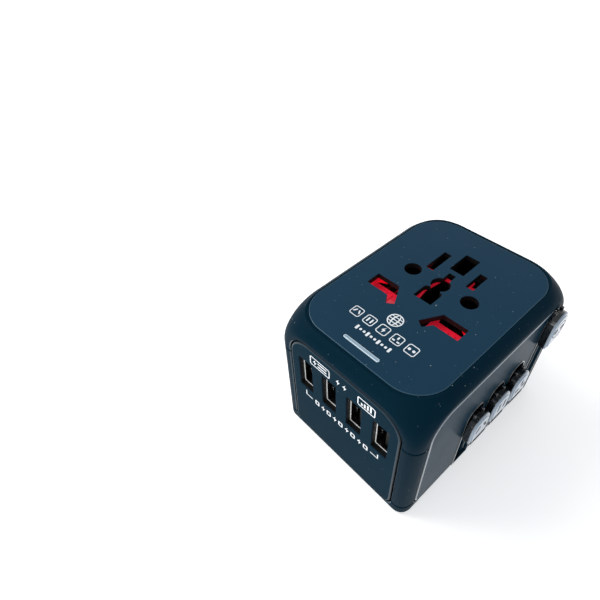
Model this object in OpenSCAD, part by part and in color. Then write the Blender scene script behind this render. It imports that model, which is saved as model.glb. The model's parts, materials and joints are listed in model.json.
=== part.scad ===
// Universal travel adapter: a pocket-size case with a multi-standard socket on
// its front, four charging ports on one end and four sliders on one side. Each
// slider pushes one set of plug pins out of the back.
// Frame: origin at the middle of the back face, +Z towards the socket face,
// -Y towards the charging end, +X towards the sliders. Millimetres.

/* [Case] */
// Width from the plain side to the slider side
body_w = 50; // [50:1:54]
// Length from the charging end to the far end
body_l = 68; // [68:1:72]
// Depth from the back face to the socket face
body_h = 51; // [51:0.1:51.4]
// Radius of the upright corners, below the bevel
corner_r = 3.6; // [3:0.2:4]
// Wall of the case behind the trim panels
wall = 1.5; // [1.2:0.1:1.5]
// Height where the front and back shells meet
seam_z = 37; // [35:1:40]
// Height of the back plate's rim
plate_h = 5; // [4.5:0.5:6]
// Thickness of the back plate's floor
floor_t = 2; // [1.5:0.1:2]

/* [Trim panels] */
// Thickness of a side or end panel
panel_t = 1.5; // [1.2:0.1:1.5]
// Gap round each panel in its recess
panel_gap = 0.15; // [0.1:0.05:0.3]
// Height of the panels' upper edge
panel_top = 46.2; // [45:0.1:46.4]
// Height of the panels' lower edge
panel_low = 1.2; // [1:0.1:1.6]
// Radius of the panels' upper corners
panel_r = 8; // [6:0.5:9]
// Radius of the panels' lower corners
panel_foot_r = 4; // [2:0.5:5]
// Width of an end panel
end_panel_w = 40.8; // [38:0.2:41]
// Width of a side panel
side_panel_w = 58; // [57:0.2:59]

/* [Socket face] */
// Width of the front panel
front_w = 43.6; // [42:0.2:44]
// Length of the front panel
front_l = 60.6; // [58:0.2:61]
// Corner radius of the front panel
front_r = 10; // [8:0.5:11]
// Thickness of the front panel
front_t = 1.8; // [1.4:0.1:1.8]
// Diameter of the two round pin holes
round_hole_d = 5; // [4.9:0.1:5.2]
// Spacing of the two round pin holes
round_hole_gap = 19; // [18:0.5:20]
// Distance of the round holes from the middle
round_hole_y = 4.8; // [4:0.2:5.4]

/* [Charging ports] */
// Spacing of the ports
port_gap = 9.3; // [8.6:0.1:9.6]
// Height of a port window
port_h = 13.1; // [13:0.1:13.4]
// Width of a port window
port_w = 5.3; // [5.2:0.1:5.6]
// Height of the windows' middle
port_z = 32; // [30:0.5:33]

/* [Sliders] */
// Travel of the sliders for flat pins
flat_travel = 17.2; // [16:0.2:17.2]
// Travel of the slider for round pins
round_travel = 31; // [29:0.5:31]
// Width of a slider knob
knob_w = 8.5; // [7:0.1:8.6]
// Height of a knob for flat pins
knob_h = 10.2; // [9.6:0.1:10.4]
// Height of the knob for round pins
round_knob_h = 12; // [11:0.5:13]
// How far a knob stands out of the side
knob_out = 2.8; // [2:0.1:3.5]
// Width of the channel a knob runs in
channel_w = 6.6; // [6.2:0.1:7]

/* [Hidden] */
$fn = 64;
soft_fn = 32;
eps = 0.01;
half_w = body_w / 2;
half_l = body_l / 2;
inner_w = body_w - 2 * (wall + panel_t);
inner_l = body_l - 2 * (wall + panel_t);
inner_r = 3;

// Front shell: the corners widen with height, and a bevel leads to the front panel.
// Each row is a level's height, inset and corner radius.
rim_in = (body_w - front_w) / 2 - 0.5;
bevel_levels = [[seam_z, 0, corner_r], [panel_top - panel_r + 2, 0, corner_r],
    [panel_top + 0.5, 0, corner_r + 5], [body_h - 0.2, rim_in, front_r + 0.5]];
front_inner_r = 6;
ledge_w = 1.7;
ledge_z = body_h - front_t - 1.5;
seat_gap = 0.1;

// Screws through the back plate
screw_x = inner_w / 2 - 1.9;
screw_y = inner_l / 2 - 1.7;
screw_r = 0.9;
screw_top = 16;

// Sliders, in order from the charging end: AU, US, UK and EU pins
au_y = -7;
us_y = 3;
uk_y = 13;
eu_y = 24.6;
flat_head_z = flat_travel + 1.1;
eu_head_z = round_travel + 2;
neck_w = 2.8;
neck_in = half_w - 6;
neck_rise = 2.1;
neck_h = 5.2;
boss_rise = 1.5;
boss_h = 5.6;
knob_clear = 0.3;
channel_d = 0.8;
slot_w = 3.4;
channel_low = 2.2;
flat_channel_top = 29.8;
eu_channel_top = 42.6;
face_t = 0.7;
face_in = 0.8;

// Carriages: one bar per pin set, at one height
bar_z = 20;
bar_h = 6;
bar_end = inner_w / 2 - 0.4;
pin_root = 24.5;
pin_tip = 0.6;
us_blade = [1.5, 6.35];
us_blade_x = 6.35;
us_blade_y = 4.45;
au_blade = [1.6, 6.35];
au_blade_x = 6.85;
au_blade_y = -2.8;
au_tilt = 30;
uk_blade = [6.35, 4];
uk_blade_x = 11.1;
uk_earth = [4, 8];
uk_earth_y = 12.5;
uk_blade_y = uk_earth_y - 22.2;
eu_block = [35, 9.6, 21];
eu_block_y = 25.6;
eu_pin_r = 2.4;
eu_pin_x = 9.5;
eu_pin_len = 19;
exit_gap = 0.3;

// Socket parts
shutter_t = 2;
shutter_top = body_h - front_t - 0.6;
shutter_travel = 4.8;
block_top = shutter_top - shutter_t - 0.2;
block_z = 27;
block_low_y = -13;
block_high_y = 20.5;
shutter_low_y = -15;
shutter_ramp = 1.8;
spring_r = 0.9;
spring_wire_r = 0.25;
spring_x = 10;
spring_turns = 9;
spring_stop_y = -23;
lamp_y = -26.9;
lamp = [12, 1.2];

// Charging ports and electronics
port_metal = [5.1, 12.9];
port_skin = 0.35;
port_front_y = -half_l + 1.6;
port_back_y = -18.4;
board_t = 1.4;
power_board_z = 7;
power_board_y = -23;
transformer_x = -9;
cap_x = 5;
small_cap_x = 14;
fuse_y = -29.2;
fuse_d = 2.4;

PORTS = [1, 2, 3, 4];

// ---- Shared shapes ----

// Rectangle with true round corners, centred on the origin
module round_rect(w, l, r) {
    square([w - 2 * r, l], center = true);
    square([w, l - 2 * r], center = true);
    for (x = [-1, 1], y = [-1, 1])
        translate([x * (w / 2 - r), y * (l / 2 - r)]) circle(r);
}

// Upright slab with round corners between two heights
module slab(w, l, r, z0, z1) {
    translate([0, 0, z0]) linear_extrude(z1 - z0) round_rect(w, l, r);
}

// Extrudes an outline of width and height along Y, from y0 for a depth
module end_prism(y0, depth) {
    translate([0, y0 + depth, 0]) rotate([90, 0, 0]) linear_extrude(depth) children();
}

// Extrudes an outline of width and height along X, from x0 for a depth
module side_prism(x0, depth) {
    translate([x0, 0, 0]) rotate([90, 0, 90]) linear_extrude(depth) children();
}

// Outline of a trim panel: large round corners above, smaller ones below
module panel_outline(width, inset) {
    u = width / 2 - inset;
    low = panel_low + inset;
    high = panel_top - inset;
    foot = panel_foot_r - inset;
    head = panel_r - inset;
    translate([-u, low + foot]) square([2 * u, high - head - low - foot]);
    translate([-u + foot, low]) square([2 * (u - foot), foot]);
    translate([-u + head, high - head]) square([2 * (u - head), head]);
    for (s = [-1, 1]) {
        translate([s * (u - foot), low + foot]) circle(foot);
        translate([s * (u - head), high - head]) circle(head);
    }
}

// Recesses for the four trim panels
module panel_recesses() {
    for (y = [-half_l - 1, half_l - panel_t]) end_prism(y, panel_t + 1) panel_outline(end_panel_w, 0);
    for (x = [-half_w - 1, half_w - panel_t]) side_prism(x, panel_t + 1) panel_outline(side_panel_w, 0);
}

// Ways through the inner wall for the ports and for the knobs' necks
module wall_windows() {
    port_span = 3 * port_gap + port_w + 3;
    translate([-port_span / 2, -half_l + panel_t - eps, port_z - port_h / 2 - 1])
        cube([port_span, wall + 2 * eps, port_h + 2]);
    translate([inner_w / 2 - 1, au_y - channel_w / 2, channel_low])
        cube([wall + 1 + eps, uk_y - au_y + channel_w, flat_channel_top - channel_low]);
    translate([inner_w / 2 - 1, eu_y - channel_w / 2, channel_low])
        cube([wall + 1 + eps, channel_w, eu_channel_top - channel_low - 2]);
}

// Mirrors its children to both sides of the middle plane
module both_sides() {
    children();
    mirror([1, 0, 0]) children();
}

// ---- Case ----

module front_shell() color([0.04, 0.12, 0.17]) difference() {
    hull() for (v = bevel_levels)
        slab(body_w - 2 * v[1], body_l - 2 * v[1], v[2], v[0], v[0] + eps, $fn = soft_fn);
    slab(inner_w, inner_l, front_inner_r, seam_z - 1, ledge_z);
    slab(front_w - 2 * ledge_w, front_l - 2 * ledge_w, front_r - ledge_w, ledge_z - 1, body_h + 1);
    slab(front_w + 2 * seat_gap, front_l + 2 * seat_gap, front_r + seat_gap, body_h - front_t, body_h + 1);
    panel_recesses();
    wall_windows();
}

module back_shell() color([0.04, 0.11, 0.16]) difference() {
    union() {
        difference() {
            slab(body_w, body_l, corner_r, plate_h, seam_z);
            slab(inner_w, inner_l, inner_r, plate_h - 1, seam_z + 1);
        }
        for (x = [-1, 1], y = [-1, 1])
            translate([x * screw_x, y * screw_y, plate_h]) cylinder(r = 1.8, h = screw_top + 1 - plate_h);
    }
    for (x = [-1, 1], y = [-1, 1])
        translate([x * screw_x, y * screw_y, plate_h - 1]) cylinder(r = screw_r, h = screw_top + 1 - plate_h);
    panel_recesses();
    wall_windows();
}

// Openings for the pins, each a little larger than the pin's own section
module pin_exits() {
    g = 2 * exit_gap;
    both_sides() {
        translate([us_blade_x, us_blade_y]) square([us_blade[0] + g, us_blade[1] + g], center = true);
        translate([au_blade_x, au_blade_y]) rotate(au_tilt)
            square([au_blade[0] + g, au_blade[1] + g], center = true);
        translate([uk_blade_x, uk_blade_y]) square([uk_blade[0] + g, uk_blade[1] + g], center = true);
    }
    translate([0, uk_earth_y]) square([uk_earth[0] + g, uk_earth[1] + g], center = true);
    translate([0, eu_block_y]) round_rect(eu_block[0] + g, eu_block[1] + g, 1);
}

module back_plate() color([0.03, 0.09, 0.14]) difference() {
    hull() {
        slab(body_w, body_l, corner_r, floor_t, plate_h, $fn = soft_fn);
        slab(body_w - 1.2, body_l - 1.2, corner_r + 0.4, 0.6, 0.6 + eps, $fn = soft_fn);
        slab(body_w - 4, body_l - 4, corner_r, 0, eps, $fn = soft_fn);
    }
    slab(inner_w, inner_l, inner_r, floor_t, plate_h + 1);
    translate([0, 0, -1]) linear_extrude(floor_t + 2) pin_exits();
    for (x = [-1, 1], y = [-1, 1]) translate([x * screw_x, y * screw_y, 0]) {
        translate([0, 0, -1]) cylinder(r = screw_r + 0.2, h = floor_t + 2);
        translate([0, 0, -1]) cylinder(r = 1.8, h = 1.8);
    }
    panel_recesses();
    wall_windows();
}

module case_screws() color("silver") {
    for (x = [-1, 1], y = [-1, 1]) translate([x * screw_x, y * screw_y, 0]) {
        translate([0, 0, 0.8]) cylinder(r = screw_r, h = screw_top - 0.8);
        difference() {
            translate([0, 0, 0.1]) cylinder(r = 1.6, h = 0.7);
            linear_extrude(0.5) square([2, 0.4], center = true);
            linear_extrude(0.5) square([0.4, 2], center = true);
        }
    }
}

// ---- Trim panels ----

module end_panel_blank(y0) {
    end_prism(y0, panel_t) panel_outline(end_panel_w, panel_gap);
}

module usb_end_panel() color([0.13, 0.22, 0.28]) difference() {
    end_panel_blank(-half_l);
    for (i = PORTS) translate([port_x(i), 0, port_z])
        cube([port_w, 3 * body_l, port_h], center = true);
}

module far_end_panel() color([0.13, 0.22, 0.28]) end_panel_blank(half_l - panel_t);

module plain_side_panel() color([0.20, 0.25, 0.31])
    side_prism(-half_w, panel_t) panel_outline(side_panel_w, panel_gap);

// Channel outline with a round top, at a place along the side
module channel(y, width, top) {
    translate([y - width / 2, channel_low]) square([width, top - width / 2 - channel_low]);
    translate([y, top - width / 2]) circle(width / 2);
}

// All four channels, or the narrower slots in their floors
module channels(width, drop) {
    for (y = [au_y, us_y, uk_y]) channel(y, width, flat_channel_top - drop);
    channel(eu_y, width, eu_channel_top - drop);
}

module slider_side_panel() color([0.27, 0.31, 0.36]) difference() {
    side_prism(half_w - panel_t, panel_t) panel_outline(side_panel_w, panel_gap);
    side_prism(half_w - channel_d, 1 + channel_d) channels(channel_w, 0);
    side_prism(half_w - panel_t - 1, panel_t + 2) channels(slot_w, 1);
}

// ---- Socket face ----

// Angled slot of one live or neutral pin, on the +X side
module angled_slot() {
    polygon([[7.5, -3.5], [15.1, -3.5], [15.1, -8.3], [7.8, -8.3], [6, -11], [4.1, -9.7]]);
}

// Keyhole-shaped centre opening
module keyhole() {
    translate([0, 5]) circle(2.75);
    translate([-1.1, 7]) square([2.2, 3.6]);
    translate([-2.85, -3.2]) square([5.7, 4.2]);
    translate([-2.3, -3.2]) square([4.6, 5.6]);
    translate([-1.6, 0]) square([3.2, 4]);
}

// Upright slots beside the earth opening: the left one is the longer
module upright_slots() {
    translate([-7.55, 8.2]) square([2.4, 9]);
    translate([5.15, 9.2]) square([2.4, 7.1]);
}

module earth_slot() {
    translate([-2.3, 12.2]) square([4.6, 8.3]);
}

module front_panel() color([0.15, 0.26, 0.35]) difference() {
    slab(front_w, front_l, front_r, body_h - front_t, body_h);
    translate([0, 0, body_h - front_t - 1]) linear_extrude(front_t + 2) {
        both_sides() angled_slot();
        keyhole();
        upright_slots();
        earth_slot();
        translate([0, lamp_y]) light_bar(0.05);
    }
    both_sides() translate([round_hole_gap / 2, round_hole_y, body_h - front_t - 1])
        cylinder(d = round_hole_d, h = front_t + 2);
}

// Rounded bar outline of the indicator lamp, grown by a gap
module light_bar(gap) {
    r = lamp[1] / 2 + gap;
    square([lamp[0] - lamp[1], 2 * r], center = true);
    for (s = [-1, 1]) translate([s * (lamp[0] - lamp[1]) / 2, 0]) circle(r);
}

module indicator_light_pipe() color([0.55, 0.62, 0.70]) translate([0, lamp_y, 0]) {
    translate([0, 0, body_h - front_t - 1]) linear_extrude(front_t + 1) light_bar(0);
    translate([0, 0, body_h - front_t - 2]) linear_extrude(2) square([10, 0.8], center = true);
    slab(lamp[0] + 2, 2.6, 0.5, body_h - front_t - 1, body_h - front_t);
}

module indicator_led() color("white")
    translate([0, lamp_y, body_h - front_t - 2.9]) cube([3.2, 1.6, 1.2], center = true);

module indicator_board() color([0.05, 0.35, 0.2])
    translate([0, lamp_y, 0]) slab(16, 4, 0.5, body_h - front_t - 4.5, body_h - front_t - 3.5);

// Red safety shutter: solid under the angled slots, with ramps and windows
module shutter() color([0.85, 0.1, 0.17]) difference() {
    translate([0, 0, shutter_top - shutter_t]) linear_extrude(shutter_t) difference() {
        union() {
            translate([-17, shutter_low_y]) square([34, 27]);
            both_sides() {
                translate([2.6, 11]) square([4.6, 2.8]);
                translate([2.6, 11]) square([2, 5]);
            }
        }
        translate([0, shutter_travel]) both_sides() angled_slot();
        both_sides() translate([5, 1.2]) square([9.2, 7.8]);
        translate([-3.4, -9]) square([5.7, 30]);
    }
    both_sides() translate([4, -3.5, shutter_top]) rotate([45, 0, 0])
        cube([24, shutter_ramp, shutter_ramp], center = true);
}

// One point of a helix along Y with its cross-section turned round the wire
function coil_point(t, a, r, wire, pitch) =
    [(r + wire * cos(a)) * cos(t), pitch * t / 360 + wire * sin(a), (r + wire * cos(a)) * sin(t)];

module coil_spring(length) {
    steps = 12 * spring_turns;
    sides = 6;
    pitch = (length - 2 * spring_wire_r) / spring_turns;
    points = [for (i = [0 : steps], k = [0 : sides - 1])
        coil_point(i * 30, k * 360 / sides, spring_r, spring_wire_r, pitch)];
    walls = [for (i = [0 : steps - 1], k = [0 : sides - 1])
        [i * sides + k, i * sides + (k + 1) % sides,
         (i + 1) * sides + (k + 1) % sides, (i + 1) * sides + k]];
    first = [for (k = [sides - 1 : -1 : 0]) k];
    last = [for (k = [0 : sides - 1]) steps * sides + k];
    translate([0, spring_wire_r, 0]) polyhedron(points, concat(walls, [first, last]));
}

module shutter_springs() color("silver")
    for (x = [-spring_x, spring_x])
        translate([x, spring_stop_y, shutter_top - shutter_t / 2])
            coil_spring(shutter_low_y - spring_stop_y);

// Insulating block below the shutter, with pockets for the contacts
module socket_block() color([0.08, 0.08, 0.09]) {
    difference() {
        translate([-inner_w / 2 + 0.2, block_low_y, block_z])
            cube([inner_w - 0.4, block_high_y - block_low_y, block_top - block_z]);
        both_sides() translate([4, -11.5, block_z + 3]) cube([12.4, 29.5, block_top - block_z]);
        translate([-3.3, 11.5, block_z + 1.2]) cube([6.6, 10, block_top - block_z]);
        translate([-3.3, -4, block_z + 3]) cube([6.6, 14.8, block_top - block_z]);
    }
    translate([-13, spring_stop_y - 1.5, block_top - 1.7]) cube([26, block_low_y - spring_stop_y + 1.5, 1.7]);
    translate([-13, spring_stop_y - 1.5, block_top - 1.7]) cube([26, 1.5, shutter_t + 1.7]);
}

// Spring contact on the +X side, for a flat pin and a round pin
module pin_contact() {
    low = block_z + 6;
    translate([0, 0, low]) linear_extrude(8) {
        translate([8, -3.4]) square([7.6, 0.5]);
        translate([8, -8.9]) square([7.6, 0.5]);
        translate([15.1, -8.9]) square([0.5, 17.4]);
        translate([12.4, 8]) square([3.2, 0.5]);
        translate([12.4, 1.6]) square([0.5, 6.9]);
    }
}

module live_contact() color("goldenrod") pin_contact();

module neutral_contact() color("goldenrod") mirror([1, 0, 0]) pin_contact();

module earth_contact() color("goldenrod") translate([0, 0, block_z + 4]) linear_extrude(10) {
    for (x = [-3.1, 2.6]) translate([x, 11.8]) square([0.5, 7.9]);
    translate([-3.1, 11.6]) square([6.2, 0.5]);
}

module live_busbar() color("goldenrod")
    translate([-inner_w / 2 + 0.6, -12, 6]) cube([0.6, 22, 20]);

module neutral_busbar() color("goldenrod")
    translate([-18, -14.8, 6]) cube([36, 0.6, 30]);

// ---- Sliders ----

// Arch outline of a knob: round top, small round corners below
module arch(w, h, r) {
    translate([-w / 2, r]) square([w, h - w / 2 - r]);
    translate([-w / 2 + r, 0]) square([w - 2 * r, r]);
    translate([0, h - w / 2]) circle(w / 2);
    for (s = [-1, 1]) translate([s * (w / 2 - r), r]) circle(r);
}

// Knob: head outside the panel, a boss in the channel and a neck to the carriage
module knob(y, z, h) {
    out = knob_out - knob_clear;
    translate([0, y, z]) {
        difference() {
            side_prism(half_w + knob_clear, out) arch(knob_w, h, 1);
            translate([0, 0, face_in])
                side_prism(half_w + knob_out - face_t, 1) arch(knob_w - 2 * face_in, h - 2 * face_in, 0.6);
        }
        translate([half_w - channel_d + 0.2, -channel_w / 2 + 0.3, boss_rise])
            cube([channel_d - 0.2 + knob_clear, channel_w - 0.6, boss_h]);
        translate([neck_in, -neck_w / 2, neck_rise]) cube([half_w + knob_clear - neck_in, neck_w, neck_h]);
    }
}

// Light inlay that carries the pin standard's mark
module knob_face(y, z, h) {
    translate([0, y, z + face_in])
        side_prism(half_w + knob_out - face_t, face_t) arch(knob_w - 2 * face_in, h - 2 * face_in, 0.6);
}

// Room in a carriage for the neck of its knob
module neck_socket(y, z) {
    translate([neck_in, y - neck_w / 2, z + neck_rise]) cube([6, neck_w, neck_h]);
}

// Flat pin with a square section, rising into its carriage
module blade(size, x, y, tilt) {
    translate([x, y, pin_tip]) rotate(tilt) linear_extrude(pin_root - pin_tip) square(size, center = true);
}

module au_knob() color([0.05, 0.06, 0.08]) knob(au_y, flat_head_z, knob_h);
module au_knob_face() color([0.75, 0.80, 0.86]) knob_face(au_y, flat_head_z, knob_h);
module au_blades() color("silver") both_sides() blade(au_blade, au_blade_x, au_blade_y, au_tilt);

module au_carriage() color([0.12, 0.12, 0.13]) difference() {
    translate([0, 0, bar_z]) linear_extrude(bar_h) {
        translate([-9.7, -6.2]) square([9.7 + bar_end, 6.8]);
        translate([15.8, -9.9]) square([bar_end - 15.8, 5]);
    }
    au_blades();
    neck_socket(au_y, flat_head_z);
}

module us_knob() color([0.05, 0.06, 0.08]) knob(us_y, flat_head_z, knob_h);
module us_knob_face() color([0.75, 0.80, 0.86]) knob_face(us_y, flat_head_z, knob_h);
module us_blades() color("silver") both_sides() blade(us_blade, us_blade_x, us_blade_y, 0);

module us_carriage() color([0.12, 0.12, 0.13]) difference() {
    translate([-10, 1, bar_z]) cube([10 + bar_end, 6.9, bar_h]);
    us_blades();
    neck_socket(us_y, flat_head_z);
}

module uk_knob() color([0.05, 0.06, 0.08]) knob(uk_y, flat_head_z, knob_h);
module uk_knob_face() color([0.75, 0.80, 0.86]) knob_face(uk_y, flat_head_z, knob_h);
module uk_flat_pins() color("silver") both_sides() blade(uk_blade, uk_blade_x, uk_blade_y, 0);
module uk_earth_pin() color("silver") blade(uk_earth, 0, uk_earth_y, 0);

// The long bar goes round the plain side, clear of the other carriages
module uk_carriage() color([0.12, 0.12, 0.13]) difference() {
    translate([0, 0, bar_z]) linear_extrude(bar_h) {
        translate([-19.4, 8.3]) square([19.4 + bar_end, 8.4]);
        translate([-19.4, -13.6]) square([3.8, 30]);
        translate([-19.4, -13.6]) square([34.8, 7]);
    }
    uk_flat_pins();
    uk_earth_pin();
    neck_socket(uk_y, flat_head_z);
}

module eu_knob() color([0.05, 0.06, 0.08]) knob(eu_y, eu_head_z, round_knob_h);
module eu_knob_face() color([0.75, 0.80, 0.86]) knob_face(eu_y, eu_head_z, round_knob_h);

module eu_pins() color("silver") for (x = [-eu_pin_x, eu_pin_x]) translate([x, eu_block_y, 0]) {
    translate([0, 0, bar_z - eu_pin_len + 1]) cylinder(r = eu_pin_r, h = eu_pin_len + 3);
    translate([0, 0, bar_z - eu_pin_len]) cylinder(r1 = eu_pin_r - 1, r2 = eu_pin_r, h = 1);
}

module eu_carriage() color([0.12, 0.12, 0.13]) difference() {
    union() {
        translate([0, eu_block_y, bar_z]) linear_extrude(eu_block[2])
            round_rect(eu_block[0], eu_block[1], 0.8);
        translate([eu_block[0] / 2 - 1, eu_y - 1.9, eu_head_z + 1])
            cube([bar_end - eu_block[0] / 2 + 1, 3.8, bar_z + eu_block[2] - eu_head_z - 1]);
    }
    eu_pins();
    neck_socket(eu_y, eu_head_z);
}

// ---- Charging ports and electronics ----

function port_x(i) = (i - 2.5) * port_gap;

module usb_shell(i) color("silver") translate([port_x(i), 0, port_z]) difference() {
    end_prism(port_front_y, port_back_y - port_front_y) square(port_metal, center = true);
    end_prism(port_front_y - 1, port_back_y - port_front_y + 0.6)
        square([port_metal[0] - 2 * port_skin, port_metal[1] - 2 * port_skin], center = true);
}

module usb_tongue(i) color([0.1, 0.1, 0.1]) translate([port_x(i) + 0.9, 0, port_z])
    end_prism(port_front_y + 1, port_back_y - port_front_y - 1.4) square([1.8, 10.6], center = true);

module usb_board() color([0.05, 0.35, 0.2])
    translate([-18.5, port_back_y, 14]) cube([37, board_t, 29]);

module power_board() color([0.05, 0.35, 0.2])
    translate([-18, power_board_y - 7.5, power_board_z]) cube([36, 15, board_t]);

module transformer_core() color([0.25, 0.25, 0.27])
    translate([transformer_x, power_board_y, power_board_z + board_t + 5.5]) difference() {
        cube([12, 8, 11], center = true);
        for (x = [-1, 1]) translate([x * 3, 0, 0]) cube([2.6, 9, 7.6], center = true);
    }

module transformer_winding() color([0.85, 0.7, 0.2])
    translate([transformer_x, power_board_y, power_board_z + board_t + 5.5]) difference() {
        cube([8, 8.6, 7], center = true);
        cube([3.4, 8, 12], center = true);
    }

module mains_capacitor() color([0.1, 0.12, 0.2])
    translate([cap_x, power_board_y, power_board_z + board_t]) cylinder(d = 8, h = 12);

module output_capacitor() color([0.1, 0.12, 0.2])
    translate([small_cap_x, power_board_y, power_board_z + board_t]) cylinder(d = 6.3, h = 11);

// Round rod along X, on the fuse's own axis
module fuse_rod(x0, x1) {
    translate([x0, fuse_y, power_board_z + board_t + 3]) rotate([0, 90, 0]) cylinder(d = fuse_d, h = x1 - x0);
}

module fuse() color([0.8, 0.85, 0.85]) fuse_rod(-8, 8);

module fuse_clips() color("goldenrod") difference() {
    for (x = [-7, 4.5]) translate([x, fuse_y - 1.7, power_board_z + board_t]) cube([2.5, 3.4, 4]);
    fuse_rod(-9, 9);
}

front_panel();
front_shell();
back_shell();
back_plate();
usb_end_panel();
far_end_panel();
slider_side_panel();
plain_side_panel();
indicator_light_pipe();
indicator_board();
indicator_led();
shutter();
shutter_springs();
socket_block();
live_contact();
neutral_contact();
earth_contact();
live_busbar();
neutral_busbar();
au_carriage();
au_blades();
au_knob();
au_knob_face();
us_carriage();
us_blades();
us_knob();
us_knob_face();
uk_carriage();
uk_flat_pins();
uk_earth_pin();
uk_knob();
uk_knob_face();
eu_carriage();
eu_pins();
eu_knob();
eu_knob_face();
usb_shell(1);  // usb_shell_1
usb_shell(2);  // usb_shell_2
usb_shell(3);  // usb_shell_3
usb_shell(4);  // usb_shell_4
usb_tongue(1);  // usb_tongue_1
usb_tongue(2);  // usb_tongue_2
usb_tongue(3);  // usb_tongue_3
usb_tongue(4);  // usb_tongue_4
usb_board();
power_board();
transformer_core();
transformer_winding();
mains_capacitor();
output_capacitor();
fuse();
fuse_clips();
case_screws();
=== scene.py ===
"""Looks of the universal travel adapter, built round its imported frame.

Every length in a class's fields is in millimetres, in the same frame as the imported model: the origin
in the middle of the back face, +Z out of the socket face, -Y out of the charging end, +X out of the
slider side. Meshes are made in metres.
"""

import json
import logging
import math
from collections.abc import Sequence
from dataclasses import dataclass, field
from enum import Enum

import bmesh
import bpy
from mathutils import Matrix, Vector
from mathutils.geometry import tessellate_polygon

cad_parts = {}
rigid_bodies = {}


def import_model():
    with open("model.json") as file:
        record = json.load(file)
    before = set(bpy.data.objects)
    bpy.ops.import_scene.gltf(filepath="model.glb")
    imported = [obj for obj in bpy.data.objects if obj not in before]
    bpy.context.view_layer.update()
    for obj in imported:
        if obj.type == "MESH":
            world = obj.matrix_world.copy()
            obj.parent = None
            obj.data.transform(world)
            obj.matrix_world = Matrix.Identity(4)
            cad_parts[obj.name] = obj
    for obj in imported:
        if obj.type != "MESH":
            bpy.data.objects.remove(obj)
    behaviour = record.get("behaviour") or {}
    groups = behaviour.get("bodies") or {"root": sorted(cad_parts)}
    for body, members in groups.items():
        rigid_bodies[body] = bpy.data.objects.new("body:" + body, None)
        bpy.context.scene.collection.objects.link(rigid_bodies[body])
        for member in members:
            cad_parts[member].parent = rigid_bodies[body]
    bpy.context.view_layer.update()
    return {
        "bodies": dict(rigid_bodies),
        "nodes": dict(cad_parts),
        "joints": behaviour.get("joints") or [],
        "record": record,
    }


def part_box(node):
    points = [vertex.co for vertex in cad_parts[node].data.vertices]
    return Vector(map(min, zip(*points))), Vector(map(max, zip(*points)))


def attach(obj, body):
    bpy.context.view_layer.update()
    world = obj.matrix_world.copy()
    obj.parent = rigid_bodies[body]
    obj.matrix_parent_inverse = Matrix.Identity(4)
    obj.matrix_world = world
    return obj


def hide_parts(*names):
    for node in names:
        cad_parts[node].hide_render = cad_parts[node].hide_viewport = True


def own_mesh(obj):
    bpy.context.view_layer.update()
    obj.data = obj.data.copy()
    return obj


LOG = logging.getLogger("travel_adapter")
MM = 0.001
SHARP_TURN = 32.0
Point = tuple[float, float]
Loop = list[Point]
Colour = tuple[float, float, float]


# ---- Directions and outlines ----


class Facing(Enum):
    """The way a flat piece faces: its across, up and outward directions in the frame."""

    SOCKET = ((1, 0, 0), (0, 1, 0), (0, 0, 1))
    PORTS = ((1, 0, 0), (0, 0, 1), (0, -1, 0))
    FAR_END = ((-1, 0, 0), (0, 0, 1), (0, 1, 0))
    SLIDERS = ((0, 1, 0), (0, 0, 1), (1, 0, 0))
    PLAIN_SIDE = ((0, -1, 0), (0, 0, 1), (-1, 0, 0))

    def place(self, across: float, up: float, out: float) -> Vector:
        """Gives the frame point, in metres, of a place on a piece that faces this way.

        Args:
            across: Distance across the face, in millimetres.
            up: Distance up the face, in millimetres.
            out: Distance outwards, in millimetres.

        Returns:
            The point in the frame.
        """
        a, u, o = (Vector(direction) for direction in self.value)
        return (a * across + u * up + o * out) * MM


def arc(cx: float, cy: float, r: float, start: float, end: float, steps: int = 10) -> Loop:
    """Points along a circular arc, both ends included.

    Args:
        cx: Centre across.
        cy: Centre up.
        r: Radius.
        start: First angle in degrees.
        end: Last angle in degrees.
        steps: Number of straight stretches.

    Returns:
        The points in order.
    """
    turns = (math.radians(start + (end - start) * i / steps) for i in range(steps + 1))
    return [(cx + r * math.cos(t), cy + r * math.sin(t)) for t in turns]


def circle(cx: float, cy: float, r: float, steps: int = 40) -> Loop:
    """A full circle, anticlockwise."""
    return arc(cx, cy, r, 0, 360, steps)[:-1]


def round_rect(cx: float, cy: float, w: float, h: float, r: float, steps: int = 10) -> Loop:
    """A rectangle with round corners, anticlockwise.

    Args:
        cx: Centre across.
        cy: Centre up.
        w: Width.
        h: Height.
        r: Corner radius.
        steps: Stretches in each corner.

    Returns:
        The outline.
    """
    x, y = w / 2 - r, h / 2 - r
    corners = ((x, -y, 270), (x, y, 0), (-x, y, 90), (-x, -y, 180))
    return [p for dx, dy, a in corners for p in arc(cx + dx, cy + dy, r, a, a + 90, steps)]


def shifted(loop: Loop, dx: float, dy: float, turn: float = 0.0) -> Loop:
    """Turns a loop about the origin, in degrees, then moves it."""
    c, s = math.cos(math.radians(turn)), math.sin(math.radians(turn))
    return [(x * c - y * s + dx, x * s + y * c + dy) for x, y in loop]


def mirrored(loop: Loop) -> Loop:
    """The loop seen in a mirror across the middle, still anticlockwise."""
    return [(-x, y) for x, y in reversed(loop)]


def hole(loop: Loop) -> Loop:
    """The loop run clockwise, as the edge of a hole."""
    return list(reversed(loop))


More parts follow.
